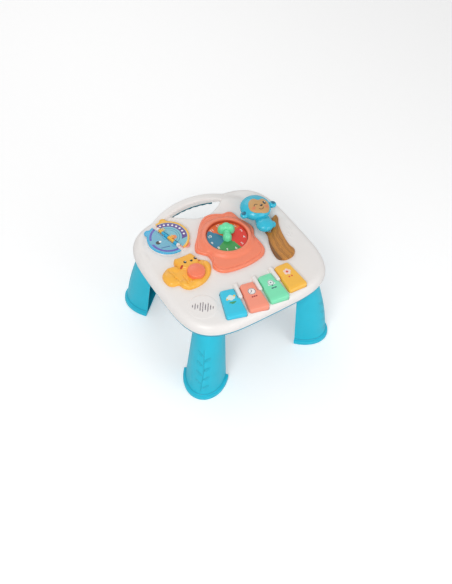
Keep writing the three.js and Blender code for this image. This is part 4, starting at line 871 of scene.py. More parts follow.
def make_base():
    pockets = [plug_side(*corner, BASE_Z, SOCKET_GAP, SOCKET_GAP)[:, :2] for corner in LEG_CORNERS.values()]

    def field(x, y):
        screws = [circle(*box_middle(name)[:2], SCREW_HOLE, x, y) for name in case_screws()]
        return cut(polygon(BASE_OUTLINE, x, y), polygon(BAY, x, y), DOOR_GAP - outside_box(DOOR_BOX, x, y),
                   -outside_box(SWITCH_SLOT, x, y), *screws)

    def socket(x, y):
        return np.max([polygon(p, x, y) for p in pockets], axis=0)

    def top(x, y, d):
        edge = polygon(BASE_OUTLINE, x, y)
        z = np.where(cut(edge, polygon(BAY, x, y)) > WALL, BASE_Z + 3.5, RIM_Z - 0.3)
        return np.where(socket(x, y) > -WALL, PLUG_TOP + 2.6, z)

    def bottom(x, y, d):
        edge = polygon(BASE_OUTLINE, x, y)
        z = BASE_Z + fillet(edge, BASE_ROUND)
        return np.where(socket(x, y) > 0, PLUG_TOP + 0.3, z)

    shell = Shell("base")
    shell.relief(field, top, bottom, BASE_SPAN, 1.5)
    paint = Paint("base_plastic", *SHELL_TEAL)
    paint.over(paint.below(paint.away(paint.z, SEAM_Z), 1.0, 0.4), "456E80")
    finished(shell.build([paint.done()]), "table", ["base_shell"])


# Piano keys. A picture's places are in its key's own frame, from -6 at the rear edge to -76 at the front one

def cloud_picture(p):
    p.over(p.dots((-5, -30, 4.2), (0, -27.5, 5.0), (5, -30, 4.2), (0, -32, 4.8)), "DDEFEA")
    p.over(p.dots((8.5, -26.5, 2.4), (-8.5, -33, 2.2)), "F3C84B")
    p.over(p.bars((-5, -42, 6, -42, 1.7), (-2, -44.6, 3, -44.6, 1.1)), "3E9E62")


def clock_picture(p):
    p.over(p.ellipse(0, -31, 8.2), "FBF3EE")
    p.over(p.ring(0, -31, 7.4, 1.1), "46566B")
    p.over(p.bars((0, -31, 0, -26.6, 0.7), (0, -31, -3.2, -33.4, 0.7)), "46566B")
    p.over(p.dots((-4, -45, 1.9), (0.4, -45, 1.9), (4.8, -45, 1.9)), "B23A3F")


def bell_picture(p):
    p.over(p.either(p.ellipse(0, -31.5, 6.6, 7.4), p.bar(-7, -36, 7, -36, 1.5)), "EAF7F0")
    p.over(p.ring(0, -31.5, 5.6, 0.9, aspect=1.12), "55707C")
    p.over(p.dots((0, -39.4, 1.7), (0, -31.5, 1.6)), "55707C")
    p.over(p.bars((-4, -46, -1, -46, 1.5), (2.4, -46, 5, -46, 1.5)), "2E5A66")


def flower_picture(p):
    petals = [(5 * math.cos(a), -30 + 5 * math.sin(a), 3.5) for a in around(5)]
    p.over(p.dots(*petals), "F9D9CF")
    p.over(p.ellipse(0, -30, 2.8), "E4573D")
    p.over(p.dots((-3, -43.5, 2.0), (3.2, -43.5, 2.0)), "E4573D")


KEYS = {"blue": ("35CAE8", "key_blue", cloud_picture), "coral": ("FF9A80", "coral", clock_picture),
        "mint": ("80E8B8", "mint", bell_picture), "yellow": ("FFC048", "yellow", flower_picture)}
KEY_ROUND, KEY_SPAN = 3.8, (-25, 25, -78, -4)
KEY_CROWN = (0.5, 22)  # how far the sides lie lower, at this half width
KEY_NOSE = (2.6, -67.5, 8.5)  # how far the front bends down, from where, and over what length
KEY_LEDGE = (0.7, -13.5, -12.3)  # how far the rear steps down, and between which places


def make_key(name, place):
    colour, slot, picture = KEYS[name]
    matrix = key_matrix(place)
    fingers = [moved(finger_outline(0.8), matrix.inverted() @ key_matrix(f)) for f in FINGER_PLACES]
    outline = key_outline(0)

    def field(x, y):
        return cut(polygon(outline, x, y), *(polygon(finger, x, y) for finger in fingers))

    def top(x, y, d):
        crown = KEY_CROWN[0] * (x / KEY_CROWN[1]) ** 2
        nose = KEY_NOSE[0] * np.clip((KEY_NOSE[1] - y) / KEY_NOSE[2], 0, 1) ** 1.2
        ledge = KEY_LEDGE[0] * step_up(*KEY_LEDGE[1:], y)
        return KEY_TOP - (crown + nose) - ledge - fillet(d, KEY_ROUND)

    shell = Shell(f"{name}_key_cap")
    shell.relief(field, top, level(KEY_BOTTOM), KEY_SPAN, 0.6)
    paint = Paint(f"{name}_plastic", colour, 0.30, 0.08, 0.05)
    picture(paint)
    piece = shell.build([paint.done()], 40)
    piece.matrix_world = Matrix.Translation(matrix.translation * MM) @ matrix.to_3x3().to_4x4()
    finished(piece, f"key_{name}", [f"key_{name}"])


# Dial

def panel_reach(angle):
    points = shaped([(r * math.cos(t * 2 * math.pi), r * math.sin(t * 2 * math.pi))
                     for t, r in PANEL_SHARES], PANEL_REACH, PANEL_REACH, 0, 0)
    curve = smooth(points, 24)
    t = np.arctan2(curve[:, 1], curve[:, 0])
    order = np.argsort(t)
    return np.interp(angle, t[order], np.hypot(curve[:, 0], curve[:, 1])[order], period=2 * math.pi)


PANEL_ROUND = 4.2
CREASES, CREASE_WIDTH = (-17.5, 64.6, 203.7), 0.075  # degrees where two lobes of the rim meet, and radians
BORDER = ((0.9, 0.0), (1.7, 0.9), (2.4, 1.0), (3.4, 0.0))  # line along the rim: places inwards, and depths
DISH_FOOT = 63.0  # radius where the dish rises from the panel
LIP_RADIUS, LIP_HALF, LIP_HEIGHT = 49.1, 3.5, 1.6


def make_panel():
    angle = around(480)
    reach = panel_reach(angle)

    def ring(radius, z):
        return round_ring(*DIAL, radius, z, angle)

    rings = [ring(1.0, PANEL_SEAT), ring(reach, PANEL_SEAT), ring(reach, PANEL_TOP - PANEL_ROUND)]
    for inset, rise in quarter(PANEL_ROUND, PANEL_ROUND, 8):
        rings.append(ring(reach - inset, PANEL_TOP - PANEL_ROUND + rise))
    room = np.clip((reach - 66) / 8, 0, 1)
    shoulder = reach - PANEL_ROUND - 0.2
    for inset, depth in BORDER:
        rings.append(ring(shoulder - inset * room, PANEL_TOP - depth * room))
    shoulder = shoulder - BORDER[-1][0] * room
    turns = [np.abs((angle - math.radians(at) + math.pi) % (2 * math.pi) - math.pi) for at in CREASES]
    crease = sum(np.exp(-(turn / CREASE_WIDTH) ** 2) for turn in turns)
    foot = np.minimum(DISH_FOOT, reach - 5.5)
    for share in (0.25, 0.5, 0.75, 1.0):
        lift = 0.5 * math.sin(share * math.pi) * np.clip((reach - 62) / 20, 0, 1)
        rings.append(ring(shoulder + (foot - shoulder) * share, PANEL_TOP + lift - 1.2 * crease * share))
    lip, side = DISH_TOP - LIP_HEIGHT, LIP_RADIUS + LIP_HALF
    for share in np.arange(1, 9) / 8:
        rise = (lip - PANEL_TOP) * (share ** 2 * (3 - 2 * share)) ** 0.9
        dent = 1.6 * crease * (1 - share) ** 0.5
        rings.append(ring(foot + (side - foot) * share, PANEL_TOP + rise - dent))
    for t in np.arange(1, 13) / 12 * math.pi:
        rings.append(ring(LIP_RADIUS + LIP_HALF * math.cos(t), lip + LIP_HEIGHT * math.sin(t)))
    rings += [ring(WINDOW_RADIUS, DISH_TOP - 2.6), ring(WINDOW_RADIUS, DISC_SEAT), ring(4.6, DISC_SEAT)]
    shell = Shell("dial_surround")
    shell.loft(rings)
    paint = Paint("panel_plastic", "FD8A68", 0.30, 0.10, 0.07)
    # Painted shade: a darker orange on the inner side of the lip and down the window's wall, where the rim
    # shades it
    paint.over(paint.both(paint.ellipse(*DIAL, 47.5, soft=3.0), paint.below(paint.z, 227.0, 4.0)), "D9583A")
    finished(shell.build([paint.done()], 50), "table", ["dial_panel"])


GREEN_EDGE, RED_EDGE, ORANGE_EDGE, BLUE_EDGE = (math.radians(a) for a in (-152, -74, 18, 128))
SECTOR_FADE = 0.02  # radians


def disc_paint():
    """Orange with three more sectors, whose edges waver, flecks and a darker border."""
    paint = Paint("dial_print", "F26A22", 0.30, 0.03, 0.05)
    wobble = paint.math("MULTIPLY_ADD", paint.noise(0.09, 2, 0.5), 9.0, -4.5)
    u, v, _ = paint.parts(paint.local(*DIAL))
    angle = paint.math("ARCTAN2", paint.math("ADD", v, wobble), paint.math("ADD", u, wobble))
    for start, end, colour in ((GREEN_EDGE, RED_EDGE, "3E9C50"), (RED_EDGE, ORANGE_EDGE, "E8392B")):
        after, before = paint.above(angle, start, SECTOR_FADE), paint.below(angle, end, SECTOR_FADE)
        paint.over(paint.both(before, after), colour)
    before, after = paint.below(angle, GREEN_EDGE, SECTOR_FADE), paint.above(angle, BLUE_EDGE, SECTOR_FADE)
    paint.over(paint.either(before, after), "2C7F9E")
    paint.over(paint.math("MULTIPLY_ADD", paint.noise(0.5, 3, 0.7), 0.4, -0.2, clamp=True), "5A3B33")
    border = paint.math("SUBTRACT", paint.ellipse(*DIAL, 50), paint.ellipse(*DIAL, 43.4))
    paint.over(border, "B8482F")
    return paint.done()


DISC_BOTTOM, DISC_TOP, DISC_HOLE, DISC_BEVEL = 220.1, 222.1, 4.6, 0.4
NUMERAL_RING, NUMERAL_SIZE, NUMERAL_WEIGHT, NUMERAL_HEIGHT = 37, 9.4, 0.12, 0.08


def make_numeral(hour, ink):
    curve = bpy.data.curves.new(f"numeral_{hour}", "FONT")
    curve.body = str(hour)
    curve.size = NUMERAL_SIZE * MM
    curve.align_x, curve.align_y = "CENTER", "CENTER"
    curve.offset, curve.extrude = NUMERAL_WEIGHT * MM, NUMERAL_HEIGHT * MM
    curve.materials.append(ink)
    numeral = added(f"numeral_{hour}", curve)
    a = math.radians(90 - 30 * hour)
    x, y = DIAL[0] + NUMERAL_RING * math.cos(a), DIAL[1] + NUMERAL_RING * math.sin(a)
    numeral.location = (x * MM, y * MM, (DISC_TOP + 0.1) * MM)
    bpy.context.view_layer.update()
    mesh = bpy.data.meshes.new_from_object(numeral)
    mesh.transform(numeral.matrix_world)
    flat = added(f"dial_numeral_{hour}", mesh)
    bpy.data.objects.remove(numeral)
    finished(flat, "table", [])


def make_disc():
    shell = Shell("dial_print_disc")
    inner = DISC_RADIUS - DISC_BEVEL
    shell.lathe([(DISC_HOLE, DISC_BOTTOM), (inner, DISC_BOTTOM), (DISC_RADIUS, DISC_BOTTOM + DISC_BEVEL),
                 (DISC_RADIUS, DISC_TOP - DISC_BEVEL), (inner, DISC_TOP), (DISC_HOLE, DISC_TOP)], *DIAL, 160)
    finished(shell.build([disc_paint()]), "table", ["dial_disc"])
    ink = Paint("numeral_ink", "F4F4EE", 0.4, 0.02, 0.02).done()
    for hour in range(1, 13):
        make_numeral(hour, ink)


KNOB_SPAN, KNOB_SHAFT, KNOB_FOOT = 34, 4, 207.8
LOBE_FILLET = 3.0
KNOB_PARTS = [([(0, 19.9, 12.2), (-9.4, 16.8, 9.3), (9.4, 16.8, 9.3)], 14, 10.5),
              ([(0, 4.5, 8.0), (0, -5.2, 9.9)], 11, 9.5)]  # lobes, height of the crown and rounding


def knob_field(lobes):
    """Field of joined circles in the knob's frame, whose Y axis runs from the stem to the canopy."""
    circles = [(*framed(DIAL, KNOB_TURN, u, v), radius) for u, v, radius in lobes]

    def field(x, y):
        d = circle(*circles[0], x, y)
        for item in circles[1:]:
            d = blend_max(d, circle(*item, x, y), LOBE_FILLET)
        return d
    return field


def make_knob():
    x, y = DIAL
    shell = Shell("tree_knob")
    span = (x - KNOB_SPAN, x + KNOB_SPAN, y - KNOB_SPAN, y + KNOB_SPAN)
    for lobes, crown, rounding in KNOB_PARTS:
        shell.relief(knob_field(lobes), lambda px, py, d: KNOB_BASE + 4 + crown * edge_round(d, rounding),
                     level(KNOB_BASE), span, 0.6)
    shell.lathe([(1, KNOB_FOOT), (KNOB_SHAFT, KNOB_FOOT), (KNOB_SHAFT, KNOB_BASE + 1), (1, KNOB_BASE + 1)],
                x, y, 32)
    finished(shell.build([MINT], 45), "dial_knob", ["dial_knob"])


# Flip book

def page_paint(name, rim, body):
    paint = Paint(f"{name}_print", rim, 0.26, 0.05, 0.04, coat=0.25)
    paint.over(paint.ellipse(*BOOK[:2], BOOK_RADIUS - 4.5), body)
    return paint


def book_place(u, v):
    """Point u across and v along the hinge line, as x and y."""
    return framed(BOOK[:2], BOOK[2], u, v)


def blue_page_paint():
    """A blue creature's head: hatched, with two violet arcs, an eye and a mouth."""
    paint = page_paint("blue_page", "3DB9E8", "6FB6CF")
    paint.over(paint.math("MULTIPLY_ADD", paint.noise(0.7, 4, 0.7), 0.5, -0.1, clamp=True), "4F9DBC")
    arc = paint.ring(*BOOK[:2], 38.0, 5.0)
    for v, turn in ((-4, 145), (14, -20)):
        paint.over(paint.both(arc, paint.half_plane(*book_place(-20, v), BOOK[2] + turn)), "5A55B5")
    paint.over(paint.ellipse(*book_place(-25.4, 4), 5.0), "0C0D12")
    paint.over(paint.ellipse(*book_place(-20.4, 3.4), 2.6), "FFFFFF")
    paint.over(paint.bar(*book_place(-14, -20), *book_place(-30, -12), 1.1), "2E5F9E")
    return paint.done()


def yellow_page_paint():
    """Two thin rings, an orange spot, and a violet band with plain dots."""
    paint = page_paint("yellow_page", "F7BC42", "7EC0CE")
    ring = paint.ring(*BOOK[:2], 35.0, 11.0)
    paint.over(paint.both(ring, paint.half_plane(*book_place(14, -24), BOOK[2] - 12)), "5B3E8F")
    turns = [math.radians(a) for a in range(-28, 80, 15)]
    dots = [(*book_place(35 * math.cos(a), 35 * math.sin(a)), 2.4) for a in turns]
    paint.over(paint.dots(*dots), "F3F1F6")
    for radius, width in ((25.0, 1.6), (20.0, 1.2)):
        paint.over(paint.ring(*BOOK[:2], radius, width), "3F8FB0")
    paint.over(paint.ellipse(*book_place(9, -9), 6.0), "E98A4F")
    return paint.done()


PINK_REACH = BOOK_RADIUS - 0.0411 * TABLE[1] / 2  # the pink page is a little smaller
# Side of the hinge, height of the lower face, knuckles, turn of the tab and reach
PAGES = {"blue": (-1, 216.3, (0, 3), 60, BOOK_RADIUS), "pink": (1, 216.3, (1, 4), -68, PINK_REACH),
         "yellow": (1, 219.6, (2, 5), 62, BOOK_RADIUS)}
PAGE_SPAN, PAGE_ROUND, PAGE_RIM = (-58, 58, -58, 58), 0.9, 0.5
TAB_RADIUS, TAB_FILLET = 8.0, 4.0
HINGE_LENGTH, KNUCKLES, KNUCKLE_GAP, KNUCKLE_RADIUS, KNUCKLE_REACH = 56, 6, 0.2, 3.2, 9.2


def make_page(name, materials):
    side, bottom, own, tab_turn, reach = PAGES[name]
    turn = math.radians(tab_turn)
    tab = (side * reach * math.cos(turn), reach * math.sin(turn), TAB_RADIUS)

    def field(x, y):
        whole = blend_max(reach - np.hypot(x, y), circle(*tab, x, y), TAB_FILLET)
        return np.minimum(whole, side * x - PAGE_INSET)

    def top(x, y, d):
        rim = PAGE_RIM * step_up(2.2, 3.6, d)
        return bottom + PAGE_THICKNESS - rim - fillet(d, PAGE_ROUND)

    shell = Shell(f"{name}_page_sheet")
    shell.relief(field, top, level(bottom), PAGE_SPAN, 0.8, matrix=book_matrix())
    for order, k in enumerate(own):
        y0 = -HINGE_LENGTH / 2 + k * HINGE_LENGTH / KNUCKLES + KNUCKLE_GAP
        y1 = y0 + HINGE_LENGTH / KNUCKLES - 2 * KNUCKLE_GAP
        barrel(shell, y0, y1, KNUCKLE_RADIUS, 1 + order)

        def web(x, y):
            return np.minimum(np.minimum(side * x, KNUCKLE_REACH - side * x), np.minimum(y - y0, y1 - y))

        shell.relief(web, level(bottom + PAGE_THICKNESS - 0.1), level(bottom + 0.1),
                     (-10, 10, y0 - 0.5, y1 + 0.5), 0.5, 1 + order, book_matrix())
    finished(shell.build(materials, 35), f"page_{name}", [f"page_{name}"])


def make_rod():
    shell = Shell("hinge_rod")
    barrel(shell, -LUG_ENDS[1], LUG_ENDS[1], 1.2, edge=0.3)
    finished(shell.build([STEEL]), "table", ["book_hinge_rod"])


# Cloth under the speaker slots

CLOTH_RADIUS, CLOTH_BOTTOM, CLOTH_TOP, THREADS = 24, 210.6, 211.2, 6.0


def make_speaker_cloth():
    shell = Shell("speaker_cloth")
    shell.lathe([(0.4, CLOTH_BOTTOM), (CLOTH_RADIUS - 0.4, CLOTH_BOTTOM), (CLOTH_RADIUS, CLOTH_BOTTOM + 0.3),
                 (CLOTH_RADIUS - 0.4, CLOTH_TOP), (0.4, CLOTH_TOP)], *SPEAKER, 64)
    paint = Paint("woven_cloth", "C9C3CE", 0.9, 0.0, 0.10)
    threads = [paint.math("SINE", paint.math("MULTIPLY", way, THREADS)) for way in (paint.x, paint.y)]
    paint.emboss(paint.both(*threads), 0.15)
    finished(shell.build([paint.done()]), "table", [])


# Lion and drum

LION_BODY_LINE = smooth(shaped(LION_BODY, LION[2], LION[2], *LION[:2]))
LION_HEAD_LINE = smooth(shaped(LION_HEAD, LION[2], LION[2], *LION[:2]))
LION_SPAN, LION_LIMIT = (-165, -55, -56, 40), 227.9
LION_BODY_RISE = (1.0, 7.482, 7.0)  # height of the edge, rise and rounding
LION_HEAD_RISE = (0.5, 13.152, 6.5)
LION_BUMPS = [(-146, 0, 15, 20, 10), (-128, -30, 15, 12, 20), (-104, -37, 14, 8, 0), (-62, -8, 9, 20, -15),
              (-125, 12, 9, 12, 30)]  # paws and arms: middle, halves and turn
LION_GROOVES = ((-139, 18, -136, -10), (-136, -10, -130, -24), (-119, -12, -121, -34),
                (-74, -34, -66, -20), (-60, 0, -70, 8))
GROOVE_WIDTH, GROOVE_DEPTH = 2.4, 1.3
LION_EYES = ((-100.5, 14.7), (-76.4, 13.7))


def near_panel(x, y):
    """Distance from the dial's surround, less the gap that the lion keeps."""
    reach = panel_reach(np.arctan2(y - DIAL[1], x - DIAL[0]).ravel()).reshape(x.shape)
    return np.hypot(x - DIAL[0], y - DIAL[1]) - reach - 0.9


def lion_region(x, y):
    d = np.maximum(polygon(LION_BODY_LINE, x, y), polygon(LION_HEAD_LINE, x, y))
    return cut(d, circle(*DRUM[:2], DRUM[2] + 0.4, x, y), -near_panel(x, y))


def lion_top(x, y, d):
    body, head = polygon(LION_BODY_LINE, x, y), polygon(LION_HEAD_LINE, x, y)
    edge, rise, rounding = LION_BODY_RISE
    z = PANEL_SEAT + edge + rise * edge_round(body, rounding)
    for bump in LION_BUMPS:
        z = z + 2.6 * (1 - step_up(0.25, 1.0, ellipse_share(*bump, x, y)))
    for line in LION_GROOVES:
        z = z - GROOVE_DEPTH * edge_round(capsule(*line, GROOVE_WIDTH, x, y), GROOVE_WIDTH)
    edge, rise, rounding = LION_HEAD_RISE
    z_head = PANEL_SEAT + edge + rise * edge_round(head, rounding) ** 0.8
    both = blend_max(np.where(body > 0, z, PANEL_SEAT), np.where(head > 0, z_head, PANEL_SEAT), 2.2)
    return np.minimum(both, LION_LIMIT)


def make_lion():
    shell = Shell("lion_relief")
    shell.relief(lion_region, lion_top, level(PANEL_SEAT), LION_SPAN, 0.7)
    paint = Paint("lion_plastic", "FFB840", 0.30, 0.08, 0.06)
    paint.over(paint.ellipse(-112.3, 8.0, 4.2, 2.5, 20), "BF3A22")
    paint.over(paint.ellipse(-69.5, 8.5, 3.0, 2.0, -30), "D9632C")
    paint.over(paint.dots((-86.8, 12.0, 3.2, 2.3), (-86.8, 10.2, 1.7)), "1B1512")
    for x, y in LION_EYES:
        paint.over(paint.ellipse(x, y, 3.3, 3.7), "17130F")
        paint.over(paint.ellipse(x + 1.2, y + 1.4, 1.15), "FFFFFF")
    finished(shell.build([paint.done()], 45), "table", ["lion_figure"])


DRUM_FOOT, DRUM_FLANGE_TOP, DRUM_WALL = 208.7, 211.1, 2.4
DRUM_STEM, DRUM_ROUND = 2.5, (3.0, 2.6)  # the rounding's width and height


def make_drum():
    x, y, r = DRUM
    shell = Shell("drum_cap")
    profile = [(1, DRUM_TOP - 2.4), (r - DRUM_WALL, DRUM_TOP - 5.4), (r - DRUM_WALL, DRUM_FOOT),
               (r + DRUM_WALL, DRUM_FOOT), (r + DRUM_WALL, DRUM_FLANGE_TOP), (r, DRUM_FLANGE_TOP),
               (r, DRUM_TOP - 4.0)]
    profile += [(r - inset, DRUM_TOP - 4.0 + rise) for inset, rise in quarter(*DRUM_ROUND, 6)]
    profile += [(r - 5.2, DRUM_TOP - 1.6), (r - 6.2, DRUM_TOP - 1.1), (r * 0.5, DRUM_TOP - 0.1),
                (1, DRUM_TOP + 0.2)]
    shell.lathe(profile, x, y)
    shell.lathe([(0.6, DRUM_FOOT), (DRUM_STEM, DRUM_FOOT), (DRUM_STEM, DRUM_TOP - 2), (0.6, DRUM_TOP - 2)],
                x, y, 24)
    finished(shell.build([DRUM_CORAL], 40), "drum_button", ["drum_button"])


# Tree trunk and monkey

TRUNK_LINE = smooth(shaped(TRUNK_SHARES, TRUNK[2], TRUNK[2], *TRUNK[:2]))
TRUNK_SPAN, TRUNK_ROUND = (75, 153, -84, 46), 2.2
RIB_HEIGHT, RIB_WAVES = 0.22, 24
SLIDE_TURN, SLIDE_STROKE = 71.6, 20


def trunk_region(x, y):
    """Inside the trunk, without the slot that the monkey's stem runs in."""
    a = math.radians(SLIDE_TURN)
    end = (SLIDE[0] - SLIDE_STROKE * math.cos(a), SLIDE[1] - SLIDE_STROKE * math.sin(a))
    return cut(polygon(TRUNK_LINE, x, y), capsule(*SLIDE[:2], *end, SLIDE[2] + 0.5, x, y))


def trunk_top(x, y, d):
    across = (np.hypot(x - GRAIN_CENTRE[0], y - GRAIN_CENTRE[1]) - GRAIN_RADIUS) / 19
    ribs = RIB_HEIGHT * np.sin(across * RIB_WAVES + 1.4 * np.sin(y * 0.11))
    return TRUNK_TOP - 0.35 + ribs * step_up(1.5, 4, d) - fillet(d, TRUNK_ROUND)


def trunk_paint():
    """Wood grain, printed and embossed, that follows the bend of the trunk, with painted shade along its
    left edge.
    """
    paint = Paint("trunk_wood_print", "CC8A38", 0.42, 0.10, 0.08)
    bend = paint.length(paint.local(*GRAIN_CENTRE))
    wave = paint.math("MULTIPLY_ADD", paint.noise(0.05, 2, 0.5), 16.0, bend)
    fine = paint.math("SINE", paint.math("MULTIPLY", wave, 1.9))
    broad = paint.math("SINE", paint.math("MULTIPLY", wave, 0.55))
    grain = paint.math("MULTIPLY_ADD", fine, 0.25, paint.math("MULTIPLY", broad, 0.22))
    paint.over(paint.math("ADD", grain, 0.30, clamp=True), "8A5420")
    # Painted shade: a dark brown band along the trunk's left edge, the side farthest from the grain's bend
    # centre
    paint.over(paint.above(bend, GRAIN_RADIUS + 16.0, 1.0), "6A4421", 0.85)
    paint.emboss(fine, 0.10)
    return paint.done()


def make_trunk():
    shell = Shell("trunk_relief")
    shell.relief(trunk_region, trunk_top, level(PANEL_SEAT), TRUNK_SPAN, 0.7)
    finished(shell.build([trunk_paint()], 45), "table", ["tree_trunk"])


def head_surface(x, y):
    """Height of the head's upper side."""
    u = np.hypot(x - MONKEY_HEAD[0], y - MONKEY_HEAD[1]) / MONKEY_HEAD_HALF[0]
    return MONKEY_HEAD[2] + MONKEY_HEAD_HALF[1] * np.sqrt(np.clip(1 - u ** 2, 0, 1))


def face_place(u, v):
    """Point of the face's own frame, as x and y."""
    return framed(FACE, FACE_TURN, u, v)


FACE_SHARES = [(0, -0.926), (0.5, -0.86), (0.9, -0.5), (1.0, 0.1), (0.86, 0.7), (0.45, 1.0), (0, 0.74),
               (-0.45, 1.0), (-0.86, 0.7), (-1.0, 0.1), (-0.9, -0.5), (-0.5, -0.86)]
STEM_FOOT, STEM_TOP = 208.1, 238
FACE_SPAN, FACE_RISE, FACE_ROUND = (80, 140, 28, 84), 1.6, 2.0


def make_monkey():
    shell = Shell("monkey_moulding")
    radius, half = MONKEY_HEAD_HALF
    ellipsoid(shell, MONKEY_HEAD, (radius, radius, half), 96, 48)
    ellipsoid(shell, MONKEY_BODY, MONKEY_BODY_HALF, 64, 32)
    ellipsoid(shell, MONKEY_HAND, MONKEY_HAND_HALF, 40, 20)
    ellipsoid(shell, MONKEY_NECK, MONKEY_NECK_HALF, 48, 24)
    paint = Paint("monkey_plastic_printed", "2ABFDC", 0.24, 0.06, 0.06)
    for x, y in EARS:
        ellipsoid(shell, (x, y, MONKEY_HEAD[2]), (EAR_HALF[0], *EAR_HALF), 40, 20)
        paint.over(paint.ellipse(x + (x - MONKEY_HEAD[0]) * 0.04, y, 4.8), "0F6F8C")
    shell.lathe([(1, STEM_FOOT), (SLIDE[2], STEM_FOOT), (SLIDE[2], STEM_TOP), (1, STEM_TOP)], *SLIDE[:2], 32)
    finished(shell.build([paint.done()], 45), "monkey", ["monkey_figure"])


def face_paint():
    """Blushed cheeks, an open eye, a winking eye, a nose and a smile."""
    paint = Paint("monkey_face_print", "CFA067", 0.36, 0.08, 0.05)
    for u, v in ((-13.0, -8.0), (16.5, -2.5)):
        paint.over(paint.ellipse(*face_place(u, v), 4.4, 3.2, EYE_TURN, soft=2.5), "E0715A", 0.6)
    paint.over(paint.ellipse(*face_place(12.1, 6.3), 3.4, 4.3, EYE_TURN), "15130F")
    paint.over(paint.ellipse(*face_place(13.0, 8.2), 1.2), "FFFFFF")
    wink = paint.half_plane(*face_place(-7.6, -2.6), EYE_TURN)
    paint.over(paint.both(paint.ring(*face_place(-7.6, -3.4), 4.0, 1.5), wink), "3B2A1C")
    paint.over(paint.ellipse(*face_place(4.2, -1.8), 3.5, 2.5, EYE_TURN), "17130F")
    paint.over(paint.ellipse(*face_place(3.4, -0.9), 0.8), "E8E2DA")
    smile = paint.half_plane(*face_place(2.4, -8.0), EYE_TURN + 180)
    paint.over(paint.both(paint.ring(*face_place(2.4, -5.2), 6.0, 1.4), smile), "5A2A1E")
    return paint.done()


def make_monkey_face():
    outline = smooth(shaped(FACE_SHARES, *FACE_HALF, *FACE, FACE_TURN))

    def top(x, y, d):
        return head_surface(x, y) + 0.3 + FACE_RISE * edge_round(d, FACE_ROUND)

    shell = Shell("monkey_face_plate")
    shell.relief(within(outline), top, lambda x, y, d: head_surface(x, y) - 0.2, FACE_SPAN, 0.6)
    finished(shell.build([face_paint()], 40), "monkey", ["monkey_face"])


# Small fittings under the table

SCREW_HEAD, SCREW_SHAFT, SCREW_HEAD_HEIGHT, SCREW_LENGTH = 3.0, 1.4, 2.2, 20.2
BEVEL = 0.3


def make_screw(node):
    """A case screw with a cross in its head, which points down."""
    x, y, z = box_middle(node)
    shell = Shell(f"{node}_cross_head")
    neck, tip = z + SCREW_HEAD_HEIGHT, z + SCREW_LENGTH
    shell.lathe([(BEVEL, z), (SCREW_HEAD - BEVEL, z), (SCREW_HEAD, z + BEVEL), (SCREW_HEAD, neck),
                 (SCREW_SHAFT, neck), (SCREW_SHAFT, tip - SCREW_SHAFT), (BEVEL, tip)], x, y, 32)
    paint = metal(f"{node}_cross_head_steel", "B4B7BB", 0.34, 0.03, 0.06)
    arm, width = SCREW_HEAD * 0.55, SCREW_HEAD * 0.16
    cross = paint.bars((x - arm, y, x + arm, y, width, 0.1), (x, y - arm, x, y + arm, width, 0.1))
    cross = paint.both(cross, paint.below(paint.z, z + 0.4, 0.2))
    # Painted shade: the cross recess is only a bump, and its near-black colour stands in for the shade
    # inside it
    paint.over(cross, "1A1B1D")
    paint.emboss(cross, -0.6)
    finished(shell.build([paint.done()], 35), "table", [node])


DOME_PROFILE = [(0.3, 0), (4.2, 0), (4.2, 0.7), (3.6, 1.3), (3.0, 2.6), (2.2, 3.8), (1.8, 4.0), (0.3, 4.0)]


def make_dome(name, material):
    """A rubber dome under its key or button."""
    (x0, y0, z0), (x1, y1, z1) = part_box(name)
    x, y = (x0 + x1) / 2, (y0 + y1) / 2
    shell = Shell(f"{name}_rubber")
    shell.lathe([(r, z0 / MM + z) for r, z in DOME_PROFILE], x / MM, y / MM, 40)
    piece = shell.build([material])
    finished(piece, "table", [name])
    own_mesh(piece)


def door_paint():
    paint = Paint("door_plastic", *SHELL_TEAL)
    for y in 45 + 2.4 * np.arange(5):
        paint.emboss(paint.bar(-6, y, 10, y, 0.7), -0.5)
    return paint.done()


def cell_paint():
    paint = Paint("cell_wrap", "3A3F46", 0.35, 0.04, 0.05)
    paint.over(paint.above(paint.away(paint.x, 2.0), 23.4, 0.3), "C9CCD0")
    return paint.done()


def board_paint():
    paint = Paint("circuit_board", "1F6B3B", 0.35, 0.05, 0.10)
    paint.over(paint.math("GREATER_THAN", paint.noise(0.35, 0, 0.5), 0.62), "C9A24A")
    return paint.done()


SOFTENED, SOFTENED_EDGE = ("battery_door", "power_switch_knob"), 0.4


def make_fittings():
    """Materials for the CAD's own pieces, and the pieces that stand in for its screws and domes."""
    for node in case_screws():
        make_screw(node)
    cells, board = cell_paint(), board_paint()
    rubber = Paint("silicone", "B9BCBC", 0.6, 0.10, 0.05).done()
    looks = dict.fromkeys(("battery_contact_left", "battery_contact_right", "monkey_screw",
                           "battery_door_screw"), STEEL)
    looks["battery_door"] = door_paint()
    looks["power_switch_knob"] = WHITE
    looks["speaker"] = Paint("speaker_cone", "A7A4B2", 0.7, 0.20, 0.06).done()
    for name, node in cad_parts.items():
        if name.endswith("_dome"):
            make_dome(name, rubber)
            continue
        if name.startswith("battery_") and name[-1].isdigit():
            looks[name] = cells
        elif name.endswith("circuit_board"):
            looks[name] = board
        node.data.materials.clear()
        node.data.materials.append(looks.get(name, BLACK))
        if name in SOFTENED:
            bevel = node.modifiers.new("softened", "BEVEL")
            bevel.width, bevel.segments, bevel.limit_method = SOFTENED_EDGE * MM, 2, "ANGLE"


# Everything in place

